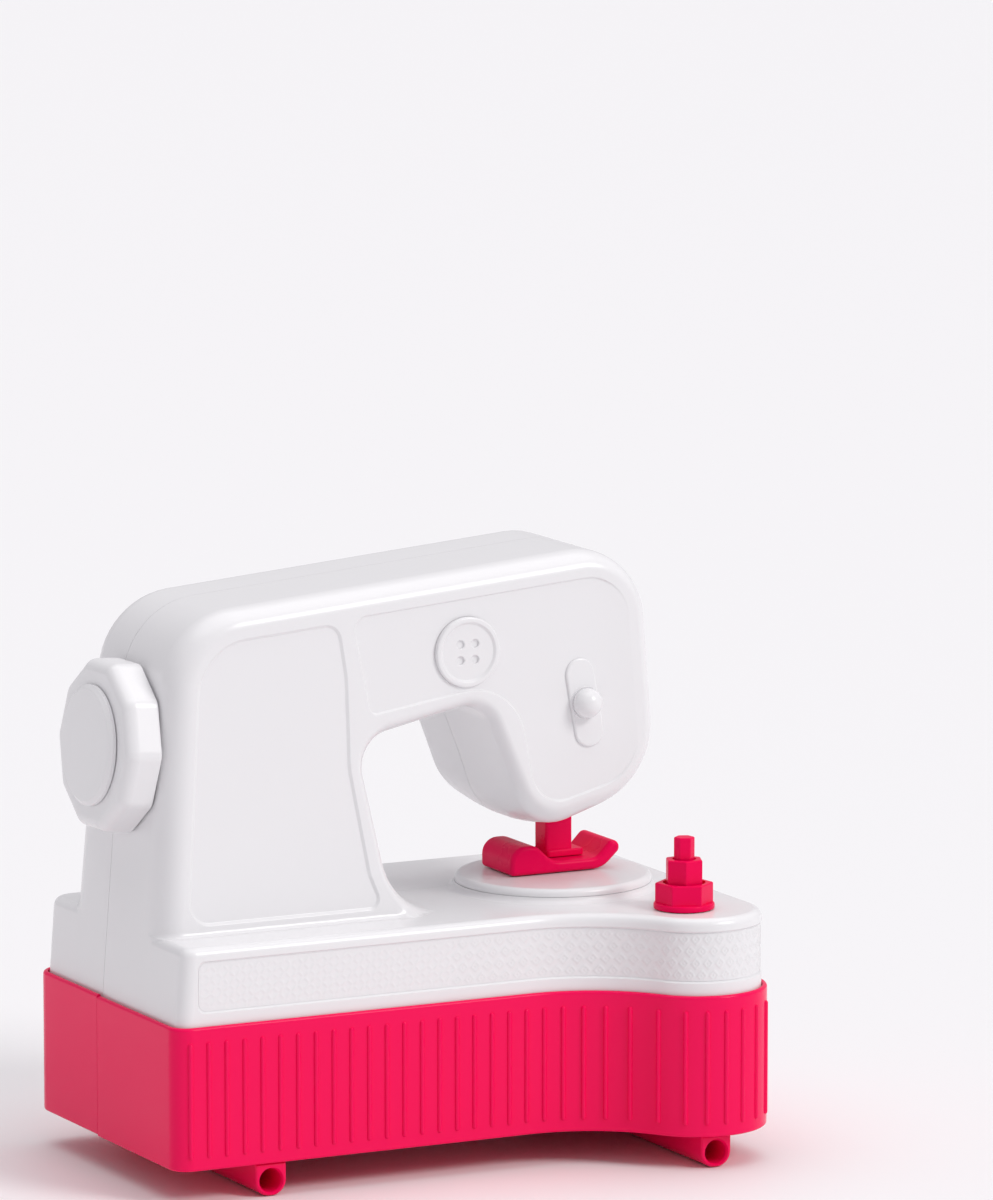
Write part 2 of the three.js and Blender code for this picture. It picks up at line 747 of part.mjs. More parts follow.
function baseBody() {
  const ledge = baseTop - rimDepth;
  const lip = postBottom;
  return prism(bedOutline(0), baseBottom, baseTop)
    .add(join(baseRibs()))
    .subtract(prism(bedOutline(rimWall), ledge, baseTop + over))
    .subtract(prism(bedOutline(baseWall), lip + flangeThickness, ledge + over))
    .subtract(prism(bedOutline(baseWall + baseFlange), lip - over, lip + flangeThickness + over))
    .subtract(prism(bedOutline(baseWall), baseBottom - over, lip));
}

const tubeSpots = [
  ['left_foot_tube', leftTubeInset, leftTubeFrontInset],
  ['right_foot_tube', bedWidth - rightTubeInset, rightTubeFrontInset - lobeForward],
];

function basePlate() {
  let plate = prism(bedOutline(baseWall + gap), baseBottom, baseBottom + basePlateThickness);
  for (const [x, y] of baseScrewSpots) {
    const seat = baseBottom + screwHeadHeight;
    plate = plate.subtract(drum(x, y, screwHole, baseBottom - over, far, undefined, holeSides));
    plate = plate.subtract(drum(x, y, screwSeatHole, baseBottom - over, seat, undefined, seatSides));
  }
  for (const [, x, front] of tubeSpots) {
    plate = plate.subtract(block(
      x - tenonWidth / 2 - gap, x + tenonWidth / 2 + gap,
      front + tenonInset - gap, tubeRear - tenonInset + gap,
      baseBottom - over, far,
    ));
  }
  return plate;
}

// An open tube with straight sides up to the base, a flat sole and a tenon through the bottom plate
function footTube(x, front) {
  const centre = tubeRadius - tubeFlat;
  const top = baseBottom - gap;
  const outline = new THREE.Shape();
  outline.moveTo(tubeRadius, top);
  outline.lineTo(-tubeRadius, top);
  outline.absarc(0, centre, tubeRadius, Math.PI, 2 * Math.PI, false);
  outline.closePath();
  const toPlace = new THREE.Matrix4().makeBasis(
    new THREE.Vector3(-1, 0, 0),
    new THREE.Vector3(0, 0, 1),
    new THREE.Vector3(0, 1, 0),
  ).setPosition(x, 0, 0);
  const tube = prism(outline, front, tubeRear, toPlace, tubeArcSteps);
  const tenon = block(
    x - tenonWidth / 2, x + tenonWidth / 2, front + tenonInset, tubeRear - tenonInset,
    top - over, baseBottom + basePlateThickness,
  );
  return tube.add(tenon)
    .subtract(rodY(x, centre, tubeBore, front - over, tubeRear + over))
    .subtract(block(-far, far, -far, far, -far, 0));
}

// Screws: the head's seat is at z = 0, the shank points down
function screwSolid(pose, length = screwLength - screwTipGap) {
  return turned([
    [0, -length],
    [screwShankRadius, -length + screwShankRadius],
    [screwShankRadius, 0],
    [screwHeadRadius, 0],
    [screwHeadRadius, screwHeadEdge],
    [0, screwHeadHeight],
  ], 0, 0, pose, seatSides);
}

const headTo = {
  rear: new THREE.Matrix4().makeRotationX(-Math.PI / 2),
  below: new THREE.Matrix4().makeRotationX(Math.PI),
};
const screwAt = (x, y, z, way, length) => screwSolid(place(x, y, z).multiply(headTo[way]), length);

const bodyScrewLength = seatDepth + screwLength - screwTipGap;
const bodyScrews = () => bodyScrewSpots.map(
  ([x, height]) => screwAt(x, partingY + seatDepth + gap, above(height), 'rear', bodyScrewLength),
);
const baseScrews = () => baseScrewSpots.map(
  ([x, y]) => screwAt(x, y, baseBottom + screwHeadHeight - gap, 'below'),
);
const guideScrewSolids = () => guideScrews.map(
  ([x, z]) => screwAt(x, guideFront + guideEarThickness + gap, z, 'rear'),
);
const platePegBottom = deckTop + pedestalRise - platePegDrop;
const plateScrews = () => platePegs.map(
  ([x, y]) => screwAt(x, y, platePegBottom - gap, 'below', platePegDrop - screwTipGap),
);

// Needle plate
function needlePlate() {
  const bottom = deckTop + pedestalRise + gap;
  const disc = turned([
    [0, bottom],
    [plateRadius - gap, bottom],
    [plateRadius - gap, plateTop - plateEdge],
    [plateRadius - gap - plateSweep * plateEdge, plateTop - plateSweep * plateEdge],
    [plateRadius - gap - plateEdge, plateTop],
    [0, plateTop],
  ], plateX, plateY, undefined, plateSides);
  const peg = ([x, y]) => drum(x, y, platePegRadius, platePegBottom, bottom + over);
  const pilot = ([x, y]) => drum(x, y, screwHole, platePegBottom - over, bottom + gap, undefined, holeSides);
  return join(disc, platePegs.map(peg)).subtract(join(platePegs.map(pilot)));
}

// Badge: a plain four-hole button
function armBadge() {
  const seat = frontFaceY(badgeHeight) + badgePocket - gap;
  const front = seat - badgePocket - badgeProud;
  const z = above(badgeHeight);
  let badge = rodY(badgeX, z, badgeRadius, front, seat, badgeSides)
    .subtract(rodY(badgeX, z, badgeRadius - badgeRim, front - over, front + badgeProud / 2, badgeSides));
  for (const side of bothSides) {
    for (const level of bothSides) {
      const x = badgeX + side * badgeHoleSpread;
      badge = badge.subtract(rodY(
        x, z + level * badgeHoleSpread, badgeHole, front - over, front + badgeProud, seatSides,
      ));
    }
  }
  return badge;
}

// Handwheel, cap, shaft and what turns with them
const wheelBack = wheelStandOff;
const wheelFront = wheelBack + wheelThickness;
const hubSeat = wheelFront - hubDepth;

function handwheel() {
  const body = new THREE.ExtrudeGeometry(polygon(wheelSides, wheelRadius, wheelTurn), {
    depth: wheelThickness,
    bevelEnabled: true,
    bevelThickness: wheelEdge,
    bevelSize: wheelEdge,
    bevelOffset: -wheelEdge,
    bevelSegments: 3,
  });
  body.translate(0, 0, wheelFront - wheelThickness - wheelEdge);
  body.applyMatrix4(wheelPose);
  return solidOf(body)
    .subtract(block(-far, far, -far, far, -far, wheelBack, wheelPose))
    .subtract(drum(0, 0, hubRadius + gap, hubSeat, far, wheelPose))
    .subtract(drum(0, 0, shaftRadius + gap, -far, hubSeat - hubFloor, wheelPose, shaftSides))
    .subtract(drum(0, 0, screwHole, -far, far, wheelPose, holeSides));
}

function handwheelCap() {
  const disc = turned([
    [0, wheelFront + gap],
    [capRadius, wheelFront + gap],
    [capRadius, wheelFront + gap + capProud - capEdge],
    [capRadius - capEdge, wheelFront + gap + capProud],
    [0, wheelFront + gap + capProud + capEdge / 2],
  ], 0, 0, wheelPose, capSides);
  const spigotEnd = wheelFront - hubDepth / 3;
  return disc.add(ring(0, 0, screwHeadRadius + over, hubRadius, spigotEnd, wheelFront + over, wheelPose));
}

const shaftOuter = hubSeat - hubFloor - gap;
const innerBushEnd = -bearingInset - bearingThickness - bushFlangeThickness - gap;
const clipAt = innerBushEnd - gap - clipThickness;
const shaftInner = clipAt - 2 * clipThickness;

function handwheelShaft() {
  const groove = shaftRadius - clipGroove;
  return drum(0, 0, shaftRadius, shaftInner, shaftOuter, wheelPose, shaftSides)
    .subtract(ring(
      0, 0, groove, shaftRadius + over, clipAt - gap, clipAt + clipThickness + gap, wheelPose, shaftSides,
    ))
    .subtract(drum(0, 0, screwHole, shaftOuter - screwLength, far, wheelPose, holeSides));
}

const shaftClip = () => ring(
  0, 0, shaftRadius - clipGroove + gap, shaftRadius + clipWidth, clipAt, clipAt + clipThickness,
  wheelPose, shaftSides,
);
const handwheelScrew = () => screwSolid(wheelPose.clone().multiply(place(0, 0, hubSeat + gap)));

// A flanged bush from z0 to z1, with its flange at the lower end
function bush(z0, z1) {
  const bore = shaftRadius + slip;
  const flangeEnd = z0 + bushFlangeThickness;
  return drum(0, 0, bushRadius, z0, z1, wheelPose, shaftSides)
    .add(drum(0, 0, bushRadius + bushFlange, z0, flangeEnd, wheelPose, shaftSides))
    .subtract(drum(0, 0, bore, z0 - over, z1 + over, wheelPose, shaftSides));
}
const outerBush = () => bush(-shellWall - gap - bushFlangeThickness, -gap / 2);
const innerBush = () => bush(innerBushEnd, -bearingInset);

function clickWheel() {
  const shape = new THREE.Shape();
  for (let i = 0; i < clickTeeth; i += 1) {
    const start = (2 * Math.PI * i) / clickTeeth;
    const half = Math.PI / clickTeeth;
    const root = clickRadius - clickToothDepth;
    if (i === 0) shape.moveTo(root, 0);
    else shape.lineTo(root * Math.cos(start), root * Math.sin(start));
    shape.lineTo(clickRadius * Math.cos(start + half), clickRadius * Math.sin(start + half));
  }
  shape.closePath();
  return prism(shape, -clickInset - clickThickness, -clickInset, wheelPose)
    .subtract(drum(0, 0, shaftRadius + gap, -far, far, wheelPose, shaftSides));
}

function clickSpring() {
  const leaf = block(
    clickSeat - clickLeaf, clickSeat, clickLeafTop - clickLeafLength, clickLeafTop,
    clickMiddle - clickLeafWidth / 2, clickMiddle + clickLeafWidth / 2, wheelPose,
  );
  return leaf.subtract(drum(0, 0, screwHole, 0, far, clickScrewPose, holeSides));
}

const clickScrew = () => screwSolid(
  clickScrewPose.clone().multiply(place(0, 0, clickSeat - clickLeaf - gap)).multiply(headTo.below),
);

// Presser foot: heel, sole and turned-up toe, seen from the front
const soleBottom = plateTop + gap;
function presserFoot() {
  const shape = new THREE.Shape();
  const heel = barX - soleLeft;
  const sole = soleBottom + soleThickness;
  const hump = soleBottom + heelRise;
  const crest = heel + heelCrest;
  const toe = barX + toeReach - toeRadius;
  const toeTop = soleBottom + toeRise - toeRadius;
  const toeSlope = toeRadius * Math.SQRT1_2;
  shape.moveTo(heel, soleBottom);
  shape.lineTo(barX + soleRight, soleBottom);
  shape.lineTo(toe + toeSlope, toeTop - toeSlope);
  shape.absarc(toe, toeTop, toeRadius, -Math.PI / 4, 0.75 * Math.PI, false);
  shape.lineTo(barX + soleRight - soleThickness / 2, sole);
  shape.lineTo(heel + heelLength, sole);
  const slope = (heel + heelLength + crest) / 2;
  shape.bezierCurveTo(slope, sole, slope, hump, crest, hump);
  shape.bezierCurveTo((heel + crest) / 2, hump, heel, hump, heel, (soleBottom + hump) / 2);
  shape.closePath();
  const seat = soleBottom + screwHeadHeight;
  return prism(shape, -barY - soleDepth / 2, -barY + soleDepth / 2, xzPlane, footArcSteps)
    .subtract(drum(barX, barY, screwHole, 0, far, undefined, holeSides))
    .subtract(drum(barX, barY, screwSeatHole, 0, seat, undefined, seatSides));
}

const footScrew = () => screwAt(barX, barY, soleBottom + screwHeadHeight - gap, 'below');

const barBottom = soleBottom + soleThickness + gap;
const shoulder = above(barShoulderHeight);
function footBar() {
  const flange = block(
    barX - barWidth / 2, barX + barWidth / 2 + barFlange,
    barY - barDepth / 2 - over, barY + barDepth / 2 + over,
    barBottom, barBottom + barFlangeThickness,
  );
  const lower = barBlock(0, barBottom, shoulder);
  const neck = barBlock(-barNeck, shoulder - over, above(barTopHeight));
  return join(flange, lower, neck)
    .subtract(drum(barX, barY, screwHole, 0, barBottom + screwLength, undefined, holeSides));
}

function barGuide() {
  const z0 = above(guideBottom);
  const z1 = z0 + guideHeight;
  const sleeve = barBlock(slip + guideWall, z0, z1);
  const ears = block(
    barX - guideEarReach, barX + guideEarReach, guideFront, guideFront + guideEarThickness,
    guideMiddle - guideEarHeight / 2, guideMiddle + guideEarHeight / 2,
  );
  const hole = ([x, z]) => rodY(
    x, z, screwHole, guideFront - over, guideFront + guideEarThickness + over, holeSides,
  );
  return sleeve.add(ears)
    .subtract(barBlock(slip, z0 - over, z1 + over))
    .subtract(join(guideScrews.map(hole)));
}

// Knob: ball, cover plate, neck through the track and a pin that works in the carriage
const pinTip = -shellWall - gap - retainerThickness - pinReach;
function liftKnob() {
  const ball = new THREE.SphereGeometry(knobRadius, 2 * ballSteps, ballSteps);
  ball.rotateX(Math.PI / 2);
  ball.translate(0, 0, knobProud);
  ball.applyMatrix4(slotPose);
  return solidOf(ball)
    .subtract(block(-far, far, -far, far, -far, gap, slotPose))
    .add(prism(obround(coverLength, coverWidth), gap, gap + coverThickness, slotPose))
    .add(drum(0, 0, neckRadius, pinTip + pinReach, knobProud, slotPose, shaftSides))
    .add(drum(0, 0, pinRadius, pinTip, knobProud, slotPose, shaftSides));
}

const knobRetainer = () => ring(
  0, 0, neckRadius + gap, retainerRadius, pinTip + pinReach, -shellWall - gap, slotPose, shaftSides,
);

// Carriage: a collar on the bar's neck with an arm forward to the knob's pin
const carriageTop = shoulder + gap + carriageHeight;
function liftCarriage() {
  const z0 = shoulder + gap;
  const pin = new THREE.Vector3(0, 0, pinTip + pinReach / 2).applyMatrix4(slotPose);
  const retreat = (liftTravel + retainerRadius) * slotUp.y; // as the leaning knob rises
  const armFront = new THREE.Vector3(0, 0, pinTip + pinReach - gap).applyMatrix4(slotPose).y + retreat;
  const sideways = liftTravel * Math.abs(slotUp.x) + pinRadius + gap;
  const upright = pinRadius + slip;
  const collar = barBlock(gap - barNeck + carriageWall, z0, carriageTop);
  const arm = block(
    pin.x - armWidth / 2, pin.x + armWidth / 2, armFront, barY,
    pin.z - armHeight / 2, pin.z + armHeight / 2,
  );
  const pinSlot = block(
    pin.x - sideways, pin.x + sideways, armFront - over, armFront + pinReach + over,
    pin.z - upright, pin.z + upright,
  );
  return collar.add(arm)
    .subtract(barBlock(gap - barNeck, z0 - over, carriageTop + over))
    .subtract(pinSlot);
}

// Return spring: one wire wound round the bar's neck from the carriage up to the seat in the head
class SpringCurve extends THREE.Curve {
  constructor(bottom, top) {
    super();
    this.bottom = bottom;
    this.top = top;
  }

  getPoint(t, target = new THREE.Vector3()) {
    const angle = 2 * Math.PI * springTurns * t;
    return target.set(
      barX + (springRadius - springWire) * Math.cos(angle),
      barY + (springRadius - springWire) * Math.sin(angle),
      THREE.MathUtils.lerp(this.bottom, this.top, t),
    );
  }
}

function barSpring() {
  const lift = gap + springWire;
  const path = new SpringCurve(carriageTop + lift, above(springSeatHeight) - lift);
  return solidOf(new THREE.ExtrudeGeometry(polygon(wireSides, springWire), {
    steps: springTurns * springSteps,
    bevelEnabled: false,
    extrudePath: path,
  }));
}

// Hexagon spindles, one inside the other
const flangeBottom = deckTop + gap;
const largeTop = flangeBottom + flangeRise + largeHexRise;
const middleTop = largeTop + middleHexRise;
const smallTop = middleTop + smallHexRise;
const spindlePose = place(spindleX, spindleY, 0);
function grooved(sleeve, radius, bottom) {
  const z0 = bottom + ringLift - gap;
  const z1 = bottom + ringLift + ringThickness + gap;
  return sleeve.subtract(ring(0, 0, radius - ringGroove, radius + over, z0, z1, spindlePose));
}
function spindleRing(radius, bottom) {
  const inner = radius - ringGroove + gap;
  const z0 = bottom + ringLift;
  return ring(0, 0, inner, inner + ringWidth, z0, z0 + ringThickness, spindlePose);
}

const largeBottom = deckTop - largeDrop;
const middleSleeve = largeBore - slip;
const middleBottom = deckTop - middleDrop;
const smallShaft = middleBore - slip;
const smallBottom = deckTop - smallDrop;

function largeSpindle() {
  const hexagon = prism(polygon(6, largeHex, spindleTurn), flangeBottom + over, largeTop, spindlePose);
  const flange = drum(0, 0, flangeRadius, flangeBottom, flangeBottom + flangeRise, spindlePose, badgeSides);
  const sleeve = drum(0, 0, largeSleeve, largeBottom, flangeBottom + over, spindlePose);
  return grooved(join(hexagon, flange, sleeve), largeSleeve, largeBottom)
    .subtract(drum(0, 0, largeBore, 0, far, spindlePose));
}

function middleSpindle() {
  const hexagon = prism(polygon(6, middleHex, spindleTurn + 30), largeTop - 2 * over, middleTop, spindlePose);
  const sleeve = drum(0, 0, middleSleeve, middleBottom, largeTop - over, spindlePose);
  return grooved(join(hexagon, sleeve), middleSleeve, middleBottom)
    .subtract(drum(0, 0, middleBore, 0, far, spindlePose));
}

function smallSpindle() {
  const hexagon = prism(polygon(6, smallHex, spindleTurn), middleTop - 2 * over, smallTop, spindlePose);
  const shaft = drum(0, 0, smallShaft, smallBottom, middleTop - over, spindlePose);
  return join(hexagon, shaft)
    .subtract(drum(0, 0, screwHole, 0, smallBottom + screwLength, spindlePose, holeSides));
}

const spindleWasher = () => ring(
  0, 0, screwHole, washerRadius, smallBottom - gap - washerThickness, smallBottom - gap, spindlePose,
);
const spindleScrew = () => screwAt(spindleX, spindleY, smallBottom - 2 * gap - washerThickness, 'below');

// Materials
const plastic = (color, roughness) => new THREE.MeshStandardMaterial({ color, roughness, metalness: 0 });
const white = () => plastic(0xf4f3f5, 0.25);
const pink = () => plastic(0xf5285c, 0.3);
const magenta = () => plastic(0xdf0750, 0.32);
const nylon = () => plastic(0xe4e0d6, 0.5);
const steel = () => new THREE.MeshStandardMaterial({ color: 0xb9bcc2, roughness: 0.35, metalness: 1 });

// Assembly
const machine = new THREE.Group();
function addPiece(name, solid, material) {
  const mesh = new THREE.Mesh(geometryOf(solid), material);
  mesh.name = name;
  machine.add(mesh);
}
function addEach(name, solids, material) {
  solids.forEach((solid, i) => addPiece(`${name}_${i + 1}`, solid, material()));
}

const wholeCasing = casing();
const wholeBase = baseBody();
addPiece('body_front_shell', wholeCasing.intersect(frontHalf), white());
addPiece('body_rear_shell', wholeCasing.intersect(rearHalf), white());
addPiece('base_front_shell', wholeBase.intersect(frontHalf), pink());
addPiece('base_rear_shell', wholeBase.intersect(rearHalf), pink());
addPiece('base_plate', basePlate(), pink());
for (const [name, x, front] of tubeSpots) addPiece(name, footTube(x, front), pink());
addPiece('needle_plate', needlePlate(), white());
addPiece('arm_badge', armBadge(), white());
addPiece('handwheel', handwheel(), white());
addPiece('handwheel_cap', handwheelCap(), white());
addPiece('handwheel_screw', handwheelScrew(), steel());
addPiece('handwheel_shaft', handwheelShaft(), steel());
addPiece('shaft_clip', shaftClip(), steel());
addPiece('outer_bush', outerBush(), nylon());
addPiece('inner_bush', innerBush(), nylon());
addPiece('click_wheel', clickWheel(), nylon());
addPiece('click_spring', clickSpring(), steel());
addPiece('click_spring_screw', clickScrew(), steel());
addPiece('presser_foot', presserFoot(), magenta());
addPiece('foot_bar', footBar(), magenta());
addPiece('foot_screw', footScrew(), steel());
addPiece('bar_guide', barGuide(), nylon());
addEach('guide_screw', guideScrewSolids(), steel);
addPiece('lift_carriage', liftCarriage(), nylon());
addPiece('bar_spring', barSpring(), steel());
addPiece('lift_knob', liftKnob(), white());
addPiece('knob_retainer', knobRetainer(), nylon());
addPiece('large_hex_spindle', largeSpindle(), magenta());
addPiece('large_hex_ring', spindleRing(largeSleeve, largeBottom), steel());
addPiece('middle_hex_spindle', middleSpindle(), magenta());
addPiece('middle_hex_ring', spindleRing(middleSleeve, middleBottom), steel());
addPiece('small_hex_spindle', smallSpindle(), magenta());
addPiece('spindle_washer', spindleWasher(), steel());
addPiece('spindle_screw', spindleScrew(), steel());
addEach('body_screw', bodyScrews(), steel);
addEach('base_screw', baseScrews(), steel);
addEach('plate_screw', plateScrews(), steel);

// The origin is the middle of the footprint, on the floor
const bounds = new THREE.Box3().setFromObject(machine);
const middle = bounds.getCenter(new THREE.Vector3());
machine.position.set(-middle.x, -middle.y, -bounds.min.z);

export default machine;
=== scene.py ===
import json
import math

import bmesh
import bpy
from mathutils import Matrix, Vector
from mathutils.geometry import delaunay_2d_cdt


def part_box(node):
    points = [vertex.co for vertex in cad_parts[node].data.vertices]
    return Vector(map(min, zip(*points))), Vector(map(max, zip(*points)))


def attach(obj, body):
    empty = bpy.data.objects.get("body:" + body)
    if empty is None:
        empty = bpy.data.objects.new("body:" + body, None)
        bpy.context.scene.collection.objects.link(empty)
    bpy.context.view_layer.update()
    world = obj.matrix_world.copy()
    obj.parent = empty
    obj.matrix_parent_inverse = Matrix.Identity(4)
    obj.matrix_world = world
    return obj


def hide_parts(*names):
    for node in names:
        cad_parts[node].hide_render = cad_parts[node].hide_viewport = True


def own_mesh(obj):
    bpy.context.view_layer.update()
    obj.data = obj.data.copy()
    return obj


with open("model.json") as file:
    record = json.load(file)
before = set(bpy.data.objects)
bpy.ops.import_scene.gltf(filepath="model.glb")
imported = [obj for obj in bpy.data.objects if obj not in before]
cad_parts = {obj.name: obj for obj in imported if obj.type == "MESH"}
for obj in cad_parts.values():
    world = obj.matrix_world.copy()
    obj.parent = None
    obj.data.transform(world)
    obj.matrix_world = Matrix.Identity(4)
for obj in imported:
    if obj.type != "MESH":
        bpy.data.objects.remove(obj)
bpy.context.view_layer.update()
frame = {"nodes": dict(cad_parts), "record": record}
print("frame loaded")

# Pieces are drawn in millimetres from the bed's left front corner and then moved into the frame
bed = {
    "width": 216, "depth": 116.4, "lobeRadius": 24.5, "lobeForward": 32.5, "waveRadius": 45,
    "frontCorner": 6.7, "rearCorner": 10, "baseBottom": 11.4, "baseTop": 60.2, "deckTop": 86.4,
    "frontHalfEnd": 63.9, "rearHalfStart": 64.1,
}
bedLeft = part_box("base_front_shell")[0].x
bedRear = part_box("base_rear_shell")[1].y
toFrame = Matrix.Translation((bedLeft, bedRear - bed["depth"] / 1000, 0)) @ Matrix.Scale(0.001, 4)
deckTop = bed["deckTop"]
quarter = math.pi / 2


# Outlines
def insetCorners(corners, inset, scales=None):
    # corners (x, y, radius) run anticlockwise; scales gives an edge its own share of the inset
    scales = scales or {}
    count = len(corners)
    lines = []
    for i in range(count):
        a = Vector(corners[i][:2])
        along = (Vector(corners[(i + 1) % count][:2]) - a).normalized()
        lines.append((a + Vector((-along.y, along.x)) * inset * scales.get(i, 1), along))
    moved = []
    for i, (x, y, radius) in enumerate(corners):
        (p, d), (q, e) = lines[i - 1], lines[i]
        bend = d.cross(e)
        spot = p + d * ((q - p).cross(e) / bend)
        step = inset * (scales.get((i - 1) % count, 1) + scales.get(i, 1)) / 2
        newRadius = max(radius - math.copysign(step, bend), 0.3) if radius else 0
        moved.append((spot.x, spot.y, newRadius))
    return moved


def roundedLine(corners, steps=6, edges=None, closed=True):
    # edges gives the points on the straight run after a corner: a number, or the levels wanted
    count = len(corners)
    runs = []
    for i, (x, y, radius) in enumerate(corners):
        here = Vector((x, y))
        if not radius or (not closed and i in (0, count - 1)):
            runs.append([here])
            continue
        arriving = (here - Vector(corners[i - 1][:2])).normalized()
        leaving = (Vector(corners[(i + 1) % count][:2]) - here).normalized()
        turn = math.atan2(arriving.cross(leaving), arriving.dot(leaving))
        start = here - arriving * radius * math.tan(abs(turn) / 2)
        centre = start + Vector((-arriving.y, arriving.x)) * math.copysign(radius, turn)
        spoke = start - centre
        runs.append([centre + Matrix.Rotation(turn * k / steps, 2) @ spoke for k in range(steps + 1)])
    points = []
    for i, run in enumerate(runs):
        points.extend(run)
        wanted = (edges or {}).get(i, 0)
        a, b = run[-1], runs[(i + 1) % count][0]
        if isinstance(wanted, int):
            shares = [(k + 1) / (wanted + 1) for k in range(wanted)]
        else:
            shares = [(level - a.y) / (b.y - a.y) for level in wanted]
        points.extend(a.lerp(b, share) for share in shares)
    return points


def regular(sides, radius, turn, rounding):
    angles = [math.radians(turn) + 2 * math.pi * i / sides for i in range(sides)]
    return [(radius * math.cos(a), radius * math.sin(a), rounding) for a in angles]


def rectangle(x0, x1, y0, y1, rounding):
    return [(x0, y0, rounding), (x1, y0, rounding), (x1, y1, rounding), (x0, y1, rounding)]


# Solids, as working objects in millimetres
def makeSolid(verts, faces, pose=None):
    data = bpy.data.meshes.new("work")
    data.from_pydata([tuple(v) for v in verts], [], faces)
    if pose:
        data.transform(pose)
    form = bmesh.new()
    form.from_mesh(data)
    bmesh.ops.remove_doubles(form, verts=form.verts, dist=1e-4)
    bmesh.ops.recalc_face_normals(form, faces=form.faces)
    form.to_mesh(data)
    form.free()
    obj = bpy.data.objects.new("work", data)
    bpy.context.scene.collection.objects.link(obj)
    return obj


def loft(rings, capped=True, closed=False):
    count = len(rings[0])
    verts = [p for ring in rings for p in ring]
    faces = []
    for i in range(len(rings) if closed else len(rings) - 1):
        a = i * count
        b = (i + 1) % len(rings) * count
        faces += [(a + k, a + (k + 1) % count, b + (k + 1) % count, b + k) for k in range(count)]
    if capped and not closed:
        faces.append(tuple(range(count - 1, -1, -1)))
        faces.append(tuple(range(len(verts) - count, len(verts))))
    return verts, faces


def roundedPrism(corners, z0, z1, low, high, pose=None, steps=5, arc=6, edges=None):
    # low and high: how far the lower and upper edges are rounded, inwards and along the prism
    levels = []
    for k in range(steps + 1):
        angle = k / steps * quarter
        levels.append((low[0] * (1 - math.sin(angle)), z0 + low[1] * (1 - math.cos(angle))))
    for k in range(steps + 1):
        angle = k / steps * quarter
        levels.append((high[0] * (1 - math.cos(angle)), z1 - high[1] * (1 - math.sin(angle))))
    rings = []
    for inset, z in levels:
        loop = roundedLine(insetCorners(corners, inset), arc, edges)
        rings.append([(p.x, p.y, z) for p in loop])
    return makeSolid(*loft(rings), pose)


def turned(profile, pose=None, sides=64, arc=4):
    # profile (radius, z, rounding) from the axis round to the axis
    line = roundedLine(profile, arc, closed=False)
    rings = []
    for p in line:
        angles = [2 * math.pi * k / sides for k in range(sides)]
        rings.append([(p.x * math.cos(a), p.x * math.sin(a), p.y) for a in angles])
    return makeSolid(*loft(rings, capped=False), pose)


def rod(radius, z0, z1, pose=None, sides=48):
    return turned([(0, z0, 0), (radius, z0, 0), (radius, z1, 0), (0, z1, 0)], pose, sides)


def brick(x0, x1, y0, y1, z0, z1):
    rings = [[(x0, y0, z), (x1, y0, z), (x1, y1, z), (x0, y1, z)] for z in (z0, z1)]
    return makeSolid(*loft(rings))


def gather(objs):
    # several solids that stay clear of each other, as one working object
    form = bmesh.new()
    for obj in objs:
        form.from_mesh(obj.data)
        bpy.data.objects.remove(obj)
    data = bpy.data.meshes.new("work")
    form.to_mesh(data)
    form.free()
    whole = bpy.data.objects.new("work", data)
    bpy.context.scene.collection.objects.link(whole)
    return whole


def combine(obj, other, how):
    cut = obj.modifiers.new("cut", "BOOLEAN")
    cut.operation = how
    cut.object = other
    cut.solver = "EXACT"
    view = bpy.context.evaluated_depsgraph_get()
    shaped = bpy.data.meshes.new_from_object(obj.evaluated_get(view))
    obj.modifiers.remove(cut)
    obj.data = shaped
    bpy.data.objects.remove(other)
    return obj


def twin(obj):
    other = bpy.data.objects.new("work", obj.data.copy())
    bpy.context.scene.collection.objects.link(other)
    return other


farAway = 500  # past every piece


def keepBetween(obj, y0, y1):
    return combine(obj, brick(-farAway, farAway, y0, y1, -farAway, farAway), "INTERSECT")


def moveTo(x, y, z):
    return Matrix.Translation((x, y, z))


# draws X and height in the front view; depth runs to the front
frontView = Matrix(((1, 0, 0, 0), (0, 0, -1, 0), (0, 1, 0, 0), (0, 0, 0, 1)))
toRear = Matrix.Rotation(-quarter, 4, "X")
toFloor = Matrix.Rotation(math.pi, 4, "X")


def poseFrom(xAxis, yAxis, zAxis, origin):
    columns = [Vector(v).to_4d() for v in (xAxis, yAxis, zAxis, origin)]
    for column, last in zip(columns, (0, 0, 0, 1)):
        column.w = last
    return Matrix(columns).transposed()


